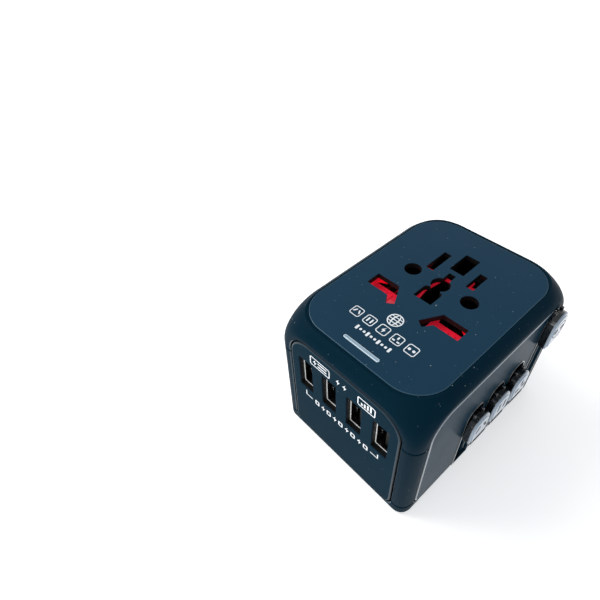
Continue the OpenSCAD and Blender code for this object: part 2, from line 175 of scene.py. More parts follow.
def rounded(points: Loop, r: float, steps: int = 4) -> Loop:
    """Rounds every corner of a polygon.

    Args:
        points: The polygon's corners.
        r: How far along each side the rounding reaches.
        steps: Stretches in each corner.

    Returns:
        The rounded outline.
    """
    out: Loop = []
    for i, corner in enumerate(points):
        here = Vector(corner)
        before, after = Vector(points[i - 1]), Vector(points[(i + 1) % len(points)])
        start = here + (before - here).normalized() * r
        end = here + (after - here).normalized() * r
        for k in range(steps + 1):
            t = k / steps
            p = start * (1 - t) ** 2 + here * 2 * t * (1 - t) + end * t * t
            out.append((p.x, p.y))
    return out


def grown(loop: Loop, inwards: float) -> Loop:
    """Moves a loop into its material: inwards on an outline, outwards on a hole.

    Args:
        loop: An anticlockwise outline or a clockwise hole.
        inwards: Distance to move; negative moves the other way.

    Returns:
        The moved loop, with as many points.
    """
    out: Loop = []
    for i, (x, y) in enumerate(loop):
        e1 = Vector((x - loop[i - 1][0], y - loop[i - 1][1])).normalized()
        after = loop[(i + 1) % len(loop)]
        e2 = Vector((after[0] - x, after[1] - y)).normalized()
        n1, n2 = Vector((-e1.y, e1.x)), Vector((-e2.y, e2.x))
        shift = (n1 + n2) * (inwards / max(0.3, 1 + n1.dot(n2)))
        out.append((x + shift.x, y + shift.y))
    return out


# ---- Solids ----


@dataclass
class Solid:
    """Vertices and faces that become one object, with a material number for each face."""

    verts: list[Vector] = field(default_factory=list)
    faces: list[tuple[int, ...]] = field(default_factory=list)
    marks: list[int] = field(default_factory=list)

    def add_ring(self, ring: Sequence[Vector]) -> list[int]:
        """Adds a ring of points and returns their numbers."""
        start = len(self.verts)
        self.verts.extend(ring)
        return list(range(start, start + len(ring)))

    def bridge(self, low: list[int], high: list[int], mark: int = 0) -> None:
        """Joins two rings of as many points with a band of faces."""
        n = len(low)
        for i in range(n):
            j = (i + 1) % n
            self.faces.append((low[i], low[j], high[j], high[i]))
            self.marks.append(mark)

    def cap(self, rings: list[list[int]], flat: list[Loop], up: bool) -> None:
        """Closes one side of a plate.

        Args:
            rings: Numbers of the points of the outline and its holes.
            flat: The same loops in the plane.
            up: True for the outer side, False for the inner one.
        """
        numbers = [n for ring in rings for n in ring]
        plane = [Vector((x, y, 0)) for loop in flat for x, y in loop]
        for a, b, c in tessellate_polygon([[Vector((x, y, 0)) for x, y in loop] for loop in flat]):
            turn = (plane[b] - plane[a]).cross(plane[c] - plane[a]).z
            face = (numbers[a], numbers[b], numbers[c])
            self.faces.append(face if (turn > 0) == up else face[::-1])
            self.marks.append(0)

    def plate(
        self,
        facing: Facing,
        loops: list[Loop],
        low: float,
        high: float,
        rims: Sequence[float],
        back_rim: float = 0.0,
        wall_mark: int = 0,
        rim_mark: int = 0,
        dark_rim: bool = False,
        steps: int = 4,
    ) -> "Solid":
        """Adds a flat plate with rounded front edges.

        Args:
            facing: The way the plate faces.
            loops: An anticlockwise outline, then clockwise holes.
            low: Where the back lies along the outward direction.
            high: Where the front lies.
            rims: Edge radius of each loop; a short list repeats its last value.
            back_rim: Size of the chamfer round the back.
            wall_mark: Material number of the holes' walls.
            rim_mark: Material number of the outline's rounded front edge.
            dark_rim: True gives the outline's wall and the outer half of its edge the holes' material,
                painted shade in the gap round the panel.
            steps: Stretches in each rounded edge.

        Returns:
            This solid.
        """
        first: list[list[int]] = []
        last: list[list[int]] = []
        low_flat: list[Loop] = []
        high_flat: list[Loop] = []
        for number, loop in enumerate(loops):
            rim = rims[min(number, len(rims) - 1)]
            profile = [(back_rim, low)]
            if back_rim:
                profile.append((0.0, low + back_rim))
            for k in range(steps + 1):
                a = math.pi / 2 * k / steps
                profile.append((rim * (1 - math.cos(a)), high - rim + rim * math.sin(a)))
            rings = []
            for inset, out in profile:
                ring = grown(loop, inset)
                rings.append(self.add_ring([facing.place(x, y, out) for x, y in ring]))
            for k, (a_ring, b_ring) in enumerate(zip(rings, rings[1:])):
                rim_band = k - (len(rings) - steps - 1)
                if number:
                    self.bridge(a_ring, b_ring, 0 if rim_band >= 0 else wall_mark)
                elif dark_rim and rim_band < steps // 2:
                    self.bridge(a_ring, b_ring, wall_mark)
                else:
                    self.bridge(a_ring, b_ring, rim_mark if rim_band >= 0 else 0)
            first.append(rings[0])
            last.append(rings[-1])
            low_flat.append(grown(loop, profile[0][0]))
            high_flat.append(grown(loop, profile[-1][0]))
        self.cap(first, low_flat, up=False)
        self.cap(last, high_flat, up=True)
        return self

    def tube(self, rings: Sequence[Sequence[Vector]], closed: bool, marks: Sequence[int] = ()) -> "Solid":
        """Joins rings in order.

        Args:
            rings: Rings of as many points each.
            closed: True joins the last ring to the first; False closes both ends with a face.
            marks: Material number of each band, 0 where the list ends.

        Returns:
            This solid.
        """
        numbers = [self.add_ring(ring) for ring in rings]
        for k, (a, b) in enumerate(zip(numbers, numbers[1:])):
            self.bridge(a, b, marks[k] if k < len(marks) else 0)
        if closed:
            self.bridge(numbers[-1], numbers[0])
            return self
        self.faces.append(tuple(reversed(numbers[0])))
        self.faces.append(tuple(numbers[-1]))
        self.marks.extend((0, 0))
        return self

    def build(self, name: str, *materials: bpy.types.Material) -> bpy.types.Object:
        """Makes the object.

        Args:
            name: The object's name.
            *materials: Its materials, in the order of the material numbers.

        Returns:
            The new object, linked to the scene.
        """
        mesh = bpy.data.meshes.new(name)
        mesh.from_pydata([tuple(v) for v in self.verts], [], self.faces)
        for material in materials:
            mesh.materials.append(material)
        for polygon, mark in zip(mesh.polygons, self.marks):
            polygon.material_index = mark
        obj = bpy.data.objects.new(name, mesh)
        bpy.context.scene.collection.objects.link(obj)
        tidy_mesh(obj)
        return obj


def tidy_mesh(obj: bpy.types.Object) -> None:
    """Points every face outwards and shades it smooth between its sharp edges.

    Args:
        obj: The object to finish, without modifiers.
    """
    mesh = bmesh.new()
    mesh.from_mesh(obj.data)
    bmesh.ops.remove_doubles(mesh, verts=mesh.verts, dist=1e-8)
    bmesh.ops.recalc_face_normals(mesh, faces=mesh.faces)
    limit = math.radians(SHARP_TURN)
    for face in mesh.faces:
        face.smooth = True
    for edge in mesh.edges:
        edge.smooth = len(edge.link_faces) == 2 and edge.calc_face_angle(0.0) < limit
    mesh.to_mesh(obj.data)
    mesh.free()
    normals = obj.modifiers.new("even_normals", "WEIGHTED_NORMAL")
    normals.keep_sharp = True
    normals.weight = 90


def cut(obj: bpy.types.Object, tools: Sequence[Solid]) -> None:
    """Cuts solids out of an object and removes them.

    Args:
        obj: The object to cut.
        tools: The solids to take away.
    """
    obj.modifiers.clear()
    for number, solid in enumerate(tools):
        tool = solid.build(f"{obj.name}_tool_{number}", *obj.data.materials)
        tool.modifiers.clear()
        step = obj.modifiers.new("cut", "BOOLEAN")
        step.operation, step.solver, step.object = "DIFFERENCE", "EXACT", tool
        bpy.context.view_layer.update()
        done = obj.evaluated_get(bpy.context.evaluated_depsgraph_get())
        mesh = bpy.data.meshes.new_from_object(done)
        old = obj.data
        obj.modifiers.remove(step)
        obj.data = mesh
        bpy.data.meshes.remove(old)
        bpy.data.objects.remove(tool)
    tidy_mesh(obj)


# ---- Finishes ----

# Painted highlight glints: small pale pink spots laid into the shutter's red colour.
GLINT_SIZE = 0.28
GLINT_COLOUR = (1.0, 0.42, 0.45, 1.0)
DUST_SIZE = 0.42
DUST_RANGE = (0.865, 0.885)
DUST_COLOUR = (0.55, 0.6, 0.65, 1.0)


@dataclass(frozen=True)
class Graph:
    """The node tree of a material or a world, with short ways to add and join nodes."""

    tree: bpy.types.NodeTree

    def fill(self, node: bpy.types.Node, **inputs: object) -> None:
        """Sets or joins a node's inputs.

        Args:
            node: The node.
            **inputs: Value or source of each input, by its name with _ for each space.
        """
        for name, value in inputs.items():
            socket = node.inputs[name.replace("_", " ")]
            if isinstance(value, bpy.types.NodeSocket):
                self.tree.links.new(value, socket)
            else:
                socket.default_value = value

    def add(self, kind: str, output: str, **inputs: object) -> bpy.types.NodeSocket:
        """Adds a node.

        Args:
            kind: The node's type.
            output: Name of the output to return.
            **inputs: As for fill.

        Returns:
            The output.
        """
        node = self.tree.nodes.new(f"ShaderNode{kind}")
        self.fill(node, **inputs)
        return node.outputs[output]

    def noise(self, size: float, detail: float, place: bpy.types.NodeSocket) -> bpy.types.NodeSocket:
        """Adds a noise.

        Args:
            size: Size of its patches, in millimetres.
            detail: How many finer layers it has.
            place: The coordinates.

        Returns:
            Its value.
        """
        return self.add("TexNoise", "Fac", Scale=1.0 / (size * MM), Detail=detail, Vector=place)

    def spread(self, value: bpy.types.NodeSocket, low: float, high: float, start: float = 0.3,
               end: float = 0.7) -> bpy.types.NodeSocket:
        """Maps a value from one range onto another.

        Args:
            value: The value.
            low: What the start of its range becomes.
            high: What the end of its range becomes.
            start: Start of its range.
            end: End of its range.

        Returns:
            The mapped value.
        """
        return self.add("MapRange", "Result", From_Min=start, From_Max=end, To_Min=low, To_Max=high,
                        Value=value)

    def mix(self, factor: object, a: object, b: object, blend: str = "MIX") -> bpy.types.NodeSocket:
        """Mixes two colours.

        Args:
            factor: Share of the second colour, as a value or a source.
            a: The first colour, as a value or a source.
            b: The second colour, as a value or a source.
            blend: How the colours are mixed.

        Returns:
            The mixed colour.
        """
        node = self.tree.nodes.new("ShaderNodeMix")
        node.data_type, node.blend_type = "RGBA", blend
        self.fill(node, Factor=factor, A=a, B=b)
        return node.outputs["Result"]


@dataclass(frozen=True)
class Finish:
    """One material: its colour, gloss, grain and small flaws.

    Colours are linear. Grain and mottle sizes are in millimetres, grain depth in micrometres.
    """

    name: str
    colour: Colour
    roughness: float = 0.4
    metallic: float = 0.0
    specular: float = 0.5
    coat: float = 0.0
    coat_roughness: float = 0.1
    grain: float = 0.25
    grain_depth: float = 4.0
    mottle: float = 9.0
    mottle_strength: float = 0.12
    gloss_spread: float = 0.06
    specks: float = 0.0
    brushed: bool = False
    glow: float = 0.0
    # Emission strength: painted light on the red shutter and the port lips; on the floor it only lifts the
    # backdrop evenly.
    see_through: float = 0.0
    mirror_tint: Colour = (1.0, 1.0, 1.0)
    sparkle: bool = False

    def colour_on(self, graph: Graph, place: bpy.types.NodeSocket) -> bpy.types.NodeSocket:
        """Lays out the clouded colour, with its painted glint spots and its dust if it has any.

        Args:
            graph: The material's nodes.
            place: The coordinates.

        Returns:
            The colour.
        """
        cloud = graph.noise(self.mottle, 3.0, place)
        shade = graph.spread(cloud, 1 - self.mottle_strength, 1 + self.mottle_strength)
        colour = graph.mix(1.0, (*self.colour, 1.0), shade, "MULTIPLY")
        # Painted glints: pale spots that stand in for highlights on the glossy red.
        if self.sparkle:
            glint_spots = graph.add("TexVoronoi", "Distance", Scale=1.0 / (GLINT_SIZE * MM), Vector=place)
            colour = graph.mix(graph.spread(glint_spots, 0.0, 0.3, 0.26, 0.1), colour, GLINT_COLOUR)
        if self.specks:
            dust = graph.noise(DUST_SIZE, 0.0, place)
            colour = graph.mix(graph.spread(dust, 0.0, self.specks, *DUST_RANGE), colour, DUST_COLOUR)
        return colour

    def build(self) -> bpy.types.Material:
        """Makes the material, or returns it if it is there already."""
        known = bpy.data.materials.get(self.name)
        if known:
            return known
        material = bpy.data.materials.new(self.name)
        material.use_nodes = True
        graph = Graph(material.node_tree)
        place = graph.add("TexCoord", "Object")
        if self.brushed:
            place = graph.add("Mapping", "Vector", Scale=(1.0, 1.0, 0.06), Vector=place)
        gloss = graph.noise(self.mottle * 0.4, 4.0, place)
        rough = graph.spread(gloss, max(0.02, self.roughness - self.gloss_spread),
                             self.roughness + self.gloss_spread)
        bump = graph.add("Bump", "Normal", Strength=0.6, Distance=self.grain_depth * 1e-6,
                         Height=graph.noise(self.grain, 2.0, place))
        shader = material.node_tree.nodes["Principled BSDF"]
        graph.fill(shader, Base_Color=self.colour_on(graph, place), Roughness=rough, Normal=bump,
                   Metallic=self.metallic, Specular_IOR_Level=self.specular,
                   Specular_Tint=(*self.mirror_tint, 1.0), Coat_Weight=self.coat,
                   Coat_Roughness=self.coat_roughness, Transmission_Weight=self.see_through)
        if self.glow:
            graph.fill(shader, Emission_Color=(*self.colour, 1.0), Emission_Strength=self.glow)
        return material


NAVY = {"grain": 0.16, "mottle": 22.0, "mottle_strength": 0.05, "gloss_spread": 0.015}
# Grain and mottle of the painted-highlight edge finishes.
HIGHLIGHT_GRAIN = {"grain": 0.3, "grain_depth": 1.5, "mottle": 12.0, "mottle_strength": 0.08}
SHELL = Finish("soft_touch_navy", (0.0018, 0.0150, 0.0275), 0.38, specular=0.012, specks=0.5, **NAVY)
FACE = Finish("satin_navy_face", (0.0080, 0.0360, 0.0680), 0.40, specular=0.10, grain=0.18,
              grain_depth=3.0, specks=0.4, mottle=26.0, mottle_strength=0.04, gloss_spread=0.012)
TRIM = Finish("matt_navy_trim", (0.0045, 0.0205, 0.0350), 0.46, specular=0.006, specks=0.4, **NAVY)
# Lighter navy on the flared mouths of the panel recesses: a painted highlight along the lip.
LIP_HIGHLIGHT = Finish("shell_lip_painted_highlight", (0.016, 0.050, 0.074), 0.28, specular=0.35, **HIGHLIGHT_GRAIN)
# Lighter navy on the trim panels' rounded edges: a painted highlight.
PANEL_EDGE_HIGHLIGHT = Finish("panel_edge_painted_highlight", (0.010, 0.030, 0.046), 0.26, specular=0.15, **HIGHLIGHT_GRAIN)
# Lighter navy on the socket face's outer rounded edge: a painted highlight.
FACE_EDGE_HIGHLIGHT = Finish("face_edge_painted_highlight", (0.020, 0.065, 0.105), 0.30, specular=0.3, **HIGHLIGHT_GRAIN)
# The trim's navy made bluer on this side, with a blue mirror tint: partly its own colour, partly painted
# reflection of the surroundings at a grazing angle.
SIDE_TRIM = Finish("satin_navy_side", (0.0035, 0.0230, 0.0420), 0.31, specular=0.03, specks=0.4,
                   mirror_tint=(0.62, 0.80, 1.0), **NAVY)
# Pale blue-grey on the slider-side panel's rounded edge: a painted highlight line.
SIDE_EDGE_HIGHLIGHT = Finish("side_edge_painted_highlight", (0.10, 0.14, 0.18), 0.2, specular=0.5, coat=0.9, **HIGHLIGHT_GRAIN)
# Near-black: the real colour of the socket block, carriages and port tongues; on recess walls, hole walls and
# the panels' outer edges it is painted shade.
BLACK_AND_GAP_SHADE = Finish("black_plastic_and_painted_gap_shade", (0.0035, 0.0038, 0.0045), 0.5, specular=0.2)
GLOSS = Finish("gloss_black_edging", (0.005, 0.0065, 0.0085), 0.16, coat=1.0, coat_roughness=0.06, grain=0.3,
               grain_depth=1.5)
# Pale blue on the knob body's rounded front edge: a painted highlight.
KNOB_EDGE_HIGHLIGHT = Finish("knob_edge_painted_highlight", (0.20, 0.26, 0.33), 0.2, coat=0.8, grain=0.3, grain_depth=1.5)
INLAY = Finish("pale_slider_inlay", (0.24, 0.32, 0.42), 0.18, coat=0.6, grain=0.4, grain_depth=2.0)
PRINT = Finish("white_print", (0.80, 0.84, 0.87), 0.5, grain=0.12, grain_depth=3.0)
DARK_PRINT = Finish("dark_print", (0.02, 0.025, 0.035), 0.5, grain=0.12)
LAMP = Finish("frosted_lamp", (0.26, 0.37, 0.47), 0.3, coat=0.4, grain=0.3)
# The shutter's own red, with painted light: its glow and glint spots stand in for light falling into its
# recess.
RED = Finish("clear_red_shutter", (0.72, 0.010, 0.032), 0.2, coat=1.0, coat_roughness=0.08, grain=0.3,
             grain_depth=12.0, mottle=1.2, mottle_strength=0.22, glow=0.38, sparkle=True)
NICKEL = Finish("nickel_plate", (0.66, 0.65, 0.63), 0.20, metallic=1.0, grain=0.1, grain_depth=1.5,
                mottle=3.0, mottle_strength=0.06, brushed=True)
# Near-white half-metal with a glow on the ports' front lips: a painted glint.
PORT_LIP_GLINT = Finish("port_lip_painted_glint", (0.92, 0.92, 0.90), 0.3, metallic=0.5, grain=0.1, grain_depth=1.0,
                mottle=3.0, mottle_strength=0.05, glow=0.18)
SHADED = Finish("shaded_steel", (0.10, 0.10, 0.105), 0.3, metallic=1.0, grain=0.1, grain_depth=1.5,
                mottle=3.0)
# Near-white on the lamp's rounded edge: a painted highlight.
LAMP_EDGE_HIGHLIGHT = Finish("lamp_edge_painted_highlight", (0.62, 0.76, 0.84), 0.3, coat=0.3, grain=0.3)
STEEL = Finish("stamped_steel", (0.74, 0.74, 0.75), 0.22, metallic=1.0, grain=0.08, grain_depth=1.5,
               mottle=2.0, mottle_strength=0.08, brushed=True)
GOLD = Finish("gilt_contact", (0.80, 0.58, 0.22), 0.22, metallic=1.0, grain=0.1, grain_depth=1.0)
BRASS = Finish("stamped_brass", (0.68, 0.50, 0.20), 0.32, metallic=1.0, grain=0.15, mottle=4.0)
SLEEVE = Finish("pin_sleeve", (0.008, 0.008, 0.009), 0.35, grain=0.2)
BOARD = Finish("green_board", (0.01, 0.12, 0.05), 0.3, coat=0.4, grain=0.5, mottle=1.5)
FERRITE = Finish("grey_ferrite", (0.05, 0.05, 0.055), 0.6, grain=0.3, grain_depth=10.0)
TAPE = Finish("winding_tape", (0.55, 0.36, 0.05), 0.3, coat=0.3, grain=0.5)
CAN = Finish("capacitor_sleeve", (0.015, 0.02, 0.06), 0.28, coat=0.5, grain=0.4)
GLASS = Finish("fuse_glass", (0.85, 0.88, 0.88), 0.05, see_through=0.9, grain=1.0, grain_depth=1.0)


# ---- Frame helpers ----


@dataclass(frozen=True)
class Box:
    """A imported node's box, in millimetres."""

    low: Vector
    high: Vector

    @classmethod
    def of(cls, node: str) -> "Box":
        """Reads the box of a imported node."""
        low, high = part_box(node)
        return cls(low / MM, high / MM)

    @property
    def middle(self) -> Vector:
        """The middle of the box."""
        return (self.low + self.high) / 2

    @property
    def size(self) -> Vector:
        """The box's three sides."""
        return self.high - self.low


class PinPair(Enum):
    """The pairs of flat pins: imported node, width, length and tilt of one pin."""

    FLAT = ("us_blades", 1.5, 6.35, 0.0)
    ANGLED = ("au_blades", 1.6, 6.35, 30.0)
    SQUARE = ("uk_flat_pins", 6.35, 4.0, 0.0)

    @property
    def node(self) -> str:
        """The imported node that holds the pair."""
        return self.value[0]

    def middle(self) -> Point:
        """Where the right-hand pin of the pair stands."""
        _, w, h, tilt = self.value
        slope = math.radians(tilt)
        box = Box.of(self.node)
        return box.high.x - (w * math.cos(slope) + h * math.sin(slope)) / 2, box.middle.y

    def section(self, side: int, room: float = 0.0) -> Loop:
        """Outline of one pin, seen from the socket face.

        Args:
            side: 1 for the right-hand pin and -1 for the left-hand one.
            room: How much wider and longer the outline is than the pin.

        Returns:
            The outline.
        """
        _, w, h, tilt = self.value
        x, y = self.middle()
        return shifted(round_rect(0, 0, w + room, h + room, 0.25, 4), side * x, y, side * tilt)


@dataclass
class Assembly:
    """What every sub-assembly shares: the frame and how its pieces are handed over."""

    frame: dict

    def hand_over(self, piece: bpy.types.Object, body: str, slot: str, *nodes: str) -> bpy.types.Object:
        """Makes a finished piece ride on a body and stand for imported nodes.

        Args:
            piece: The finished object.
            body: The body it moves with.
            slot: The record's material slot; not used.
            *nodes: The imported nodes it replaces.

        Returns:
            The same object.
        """
        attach(piece, body)
        if nodes:
            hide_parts(*nodes)
        LOG.info("%s: %d faces, rides on %s", piece.name, len(piece.data.polygons), body)
        return piece

    def add(self, solid: Solid, name: str, finishes: Sequence[Finish], body: str, slot: str,
            *nodes: str) -> bpy.types.Object:
        """Builds a solid and hands it over.

        Args:
            solid: The solid.
            name: The piece's name.
            finishes: Its finishes, in the order of the material numbers.
            body: The body it moves with.
            slot: The record's material slot.
            *nodes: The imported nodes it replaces.

        Returns:
            The new piece.
        """
        piece = solid.build(name, *(finish.build() for finish in finishes))
        return self.hand_over(piece, body, slot, *nodes)

    def dress(self, node: str, finish: Finish, edge: float = 0.0) -> None:
        """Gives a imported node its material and, if asked, softer edges.

        Args:
            node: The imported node.
            finish: Its finish.
            edge: Size of the rounding on its edges, in millimetres.
        """
        obj = self.frame["nodes"][node]
        obj.data.materials.clear()
        obj.data.materials.append(finish.build())
        if not edge:
            return
        weld = obj.modifiers.new("weld", "WELD")
        weld.merge_threshold = 1e-6
        bevel = obj.modifiers.new("soft_edges", "BEVEL")
        bevel.width, bevel.segments = edge * MM, 2
        bevel.limit_method, bevel.angle_limit = "ANGLE", math.radians(40)
        normals = obj.modifiers.new("even_normals", "WEIGHTED_NORMAL")
        normals.keep_sharp = True


# ---- Case ----


@dataclass
class Case(Assembly):
    """The front shell, back shell and back plate, and the outlines that the panels share.

    Fields that hold two lengths are, in order: a seat's radius and depth, a boss's outer and inner radius,
    the deep and the near end of a way through the wall, and the room beside and above the ports.
    """

    lip: float = 1.4
    gap: float = 0.4
    seam: float = 0.16
    edge: float = 0.28
    wall_in: float = 3.0
    panel_r: float = 8.0
    foot_r: float = 4.0
    corner_low: float = 1.51
    corner_high: float = 8.15
    corner_turn: float = 2.4
    bevel_bulge: float = 0.42
    corner_steps: int = 14
    seat_gap: float = 0.07
    ledge: float = 1.7
    inner_r: float = 3.0
    tray_edge: float = 2.0
    pin_room: float = 0.6
    exit_depth: float = 2.6
    bay_w: float = 35.0
    screw_r: float = 1.6
    head_seat: Point = (1.8, 0.8)
    shank_r: float = 1.1
    boss_r: Point = (1.75, 0.92)
    way_span: Point = (4.0, 0.6)
    way_low: float = 2.2
    port_room: Point = (1.6, 0.9)

    def __post_init__(self) -> None:
        """Reads the case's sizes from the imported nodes."""
        back, front = Box.of("back_shell"), Box.of("front_panel")
        end, side = Box.of("usb_end_panel"), Box.of("plain_side_panel")
        self.half_w, self.half_l = back.size.x / 2, back.size.y / 2
        self.plate_z, self.seam_z = back.low.z, back.high.z
        self.top_z, self.seat_z = front.high.z, front.low.z
        self.face_w, self.face_l, self.face_r = front.size.x, front.size.y, 10.0
        cad_gap = 0.15
        self.end_half, self.side_half = end.size.x / 2 + cad_gap, side.size.y / 2 + cad_gap
        self.panel_low, self.panel_top = end.low.z - cad_gap, end.high.z + cad_gap
        self.panel_t = side.size.x
        self.lip_top = self.panel_top + self.lip
        self.arc_z = self.panel_top - self.panel_r

    def panel_outline(self, half: float, inset: float) -> Loop:
        """Outline of a trim panel, anticlockwise, large round corners above."""
        low, high = self.panel_low + inset, self.panel_top - inset
        u, head, foot = half - inset, self.panel_r - inset, self.foot_r - inset
        return (arc(u - foot, low + foot, foot, -90, 0) + arc(u - head, high - head, head, 0, 90, 16)
                + arc(-u + head, high - head, head, 90, 180, 16) + arc(-u + foot, low + foot, foot, 180, 270))

    def flat_half(self, half: float, z: float) -> float:
        """Half the width of a side's flat part at a height: the lip's outline.

        Args:
            half: Half the width of that side's panel.
            z: Height.

        Returns:
            Half the flat width there.
        """
        r = self.panel_r + self.lip
        rise = min(max(z - self.arc_z, 0.0), r)
        return half + self.lip - r + math.sqrt(r * r - rise * rise)

    def ring(self, z: float, inset: float, flat_w: float, flat_l: float, bend: float) -> list[Vector]:
        """One level of the case, as a ring of points.

        Args:
            z: Height of the level.
            inset: How far the level lies inside the case's sides.
            flat_w: Half the flat part of the ends.
            flat_l: Half the flat part of the long sides.
            bend: 1 for corners tangent to the sides, less for flatter corners.

        Returns:
            The ring, anticlockwise.
        """
        x, y = self.half_w - inset, self.half_l - inset
        points: Loop = []
        for sx, sy in ((1, -1), (1, 1), (-1, 1), (-1, -1)):
            ends = [Vector((sx * flat_w, sy * y)), Vector((sx * x, sy * flat_l))]
            if sx == sy:
                ends.reverse()
            start, end = ends
            middle = (start + end) / 2
            control = middle.lerp(Vector((sx * x, sy * y)), bend)
            for k in range(self.corner_steps + 1):
                t = k / self.corner_steps
                p = start * (1 - t) ** 2 + control * 2 * t * (1 - t) + end * t * t
                points.append((p.x, p.y))
        return [Facing.SOCKET.place(px, py, z) for px, py in points]

    def inner_ring(self, z: float, half_w: float, half_l: float, r: float) -> list[Vector]:
        """A level of a round-cornered opening, with as many points as a case ring."""
        loop = round_rect(0, 0, 2 * half_w, 2 * half_l, r, self.corner_steps)
        return [Facing.SOCKET.place(x, y, z) for x, y in loop]

    def wall_level(self, z: float) -> list[Vector]:
        """A level of the inner wall's inside."""
        return self.inner_ring(z, self.half_w - self.wall_in, self.half_l - self.wall_in, self.inner_r)

    def bend(self, z: float, inset: float, flat_w: float, flat_l: float) -> float:
        """How full the corners are at a height, so that they lean in more and more towards the top.

        Args:
            z: Height of the level.
            inset: How far the level lies inside the case's sides.
            flat_w: Half the flat part of the ends.
            flat_l: Half the flat part of the long sides.

        Returns:
            The bend for that level's ring.
        """
        rise = max(z - self.arc_z, 0.0) / (self.top_z - self.arc_z)
        depth = self.corner_low + (self.corner_high - self.corner_low) * rise ** self.corner_turn
        span = math.hypot(self.half_w - inset - flat_w, self.half_l - inset - flat_l)
        return min(2 - 4 * (depth - inset * math.sqrt(2)) / span, 1.0)

    def outer_level(self, z: float, inset: float = 0.0) -> list[Vector]:
        """A ring on the upright part of the case."""
        flat_w, flat_l = self.flat_half(self.end_half, z), self.flat_half(self.side_half, z)
        return self.ring(z, inset, flat_w, flat_l, self.bend(z, 0.0, flat_w, flat_l))

    def bevel_level(self, share: float) -> list[Vector]:
        """A ring on the bevel, at a share of the way from the lip to the front panel."""
        rim = self.half_w - self.face_w / 2 - 0.5
        inset = rim * share - self.bevel_bulge * math.sin(math.pi * share)
        z = self.lip_top + (self.top_z - 0.15 - self.lip_top) * share
        start_w = self.flat_half(self.end_half, self.lip_top)
        start_l = self.flat_half(self.side_half, self.lip_top)
        end_w, end_l = self.face_w / 2 - self.face_r, self.face_l / 2 - self.face_r
        flat_w, flat_l = start_w + (end_w - start_w) * share, start_l + (end_l - start_l) * share
        return self.ring(z, inset, flat_w, flat_l, self.bend(z, inset, flat_w, flat_l))

    def skin(self, rings: Sequence[Sequence[Vector]], closed: bool, node: str,
             tools: Sequence[Solid] = ()) -> None:
        """Builds one shell, with the panels' recesses and the ways through its wall.

        Args:
            rings: The shell's levels.
            closed: True where the last level joins the first.
            node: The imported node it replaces.
            tools: What else is cut out of it.
        """
        shell = Solid().tube(rings, closed).build(f"{node}_skin", SHELL.build(), BLACK_AND_GAP_SHADE.build(), LIP_HIGHLIGHT.build())
        cut(shell, [*self.recesses(), *self.windows(), *tools])
        self.hand_over(shell, "housing", "shell", node)

    def screw_places(self) -> list[Point]:
        """Where the four case screws stand."""
        screws = Box.of("case_screws")
        x, y = screws.high.x - self.screw_r, screws.high.y - self.screw_r
        return [(sx * x, sy * y) for sx in (-1, 1) for sy in (-1, 1)]

    def recess(self, facing: Facing, out: float, half: float) -> Solid:
        """The recess of one trim panel, flared at its mouth."""
        outline = self.panel_outline(half, 0.0)
        levels = ((0.0, -self.panel_t), (0.0, -self.edge), (-self.edge, 0.0), (-self.edge - 0.8, 0.8))
        rings = [[facing.place(x, y, out + h) for x, y in grown(outline, d)] for d, h in levels]
        # Band 1 is painted shade on the recess walls; band 2 is a painted highlight on the flared mouth.
        return Solid().tube(rings, closed=False, marks=(1, 2))

    def recesses(self) -> list[Solid]:
        """The recesses of all four trim panels."""
        ends = [(facing, self.half_l, self.end_half) for facing in (Facing.PORTS, Facing.FAR_END)]
        sides = [(facing, self.half_w, self.side_half) for facing in (Facing.SLIDERS, Facing.PLAIN_SIDE)]
        return [self.recess(*place) for place in ends + sides]

    def window(self, facing: Facing, half: float, left: float, right: float, low: float, high: float,
               r: float) -> Solid:
        """A cutting tool for a rectangular way through the inner wall, behind a trim panel."""
        outline = round_rect((left + right) / 2, (low + high) / 2, right - left, high - low, r)
        deep, start = self.way_span
        return Solid().plate(facing, [outline], half - deep, half - start, [0.0], steps=1)

    def windows(self) -> list[Solid]:
        """Ways through the inner wall for the ports and the knobs' necks."""
        low, high = Box.of("usb_shell_1").low, Box.of("usb_shell_4").high
        side, over = self.port_room
        wide = high.x + side
        ways = [self.window(Facing.PORTS, self.half_l, -wide, wide, low.z - over, high.z + over, 0.5)]
        for start, end, short in (("au_knob", "uk_knob", 1.0), ("eu_knob", "eu_knob", 4.4)):
            first, last = Box.of(start), Box.of(end)
            ways.append(self.window(Facing.SLIDERS, self.half_w, first.low.y + 1.0, last.high.y - 1.0,
                                    self.way_low, first.high.z - short, 0.4))
        return ways

    def front_shell(self) -> None:
        """Builds the front shell: upright rim, bevel, panel seat and inner wall."""
        low, rise = self.seam_z + self.seam, self.lip_top - self.arc_z
        heights = [low + self.edge, self.arc_z]
        heights += [self.arc_z + rise * math.sin(t * math.pi / 24) for t in range(1, 12)] + [self.lip_top]
        rings = [self.outer_level(low, self.edge)]
        rings += [self.outer_level(z) for z in heights]
        rings += [self.bevel_level(k / 10) for k in range(1, 11)]
        gap, ledge, under = self.seat_gap, self.ledge, self.seat_z - 1.5
        seat_w, seat_l, seat_r = self.face_w / 2 + gap, self.face_l / 2 + gap, self.face_r + gap
        inner_w, inner_l = self.half_w - self.wall_in, self.half_l - self.wall_in
        for z, half_w, half_l, r in (
                (self.top_z - 0.12, seat_w + 0.13, seat_l + 0.13, seat_r + 0.13),
                (self.top_z - 0.3, seat_w, seat_l, seat_r),
                (self.seat_z, seat_w, seat_l, seat_r),
                (self.seat_z, seat_w - ledge, seat_l - ledge, self.face_r - ledge),
                (under, seat_w - ledge, seat_l - ledge, self.face_r - ledge),
                (under, inner_w, inner_l, 2 * self.inner_r),
                (low, inner_w, inner_l, 2 * self.inner_r)):
            rings.append(self.inner_ring(z, half_w, half_l, r))
        self.skin(rings, True, "front_shell")

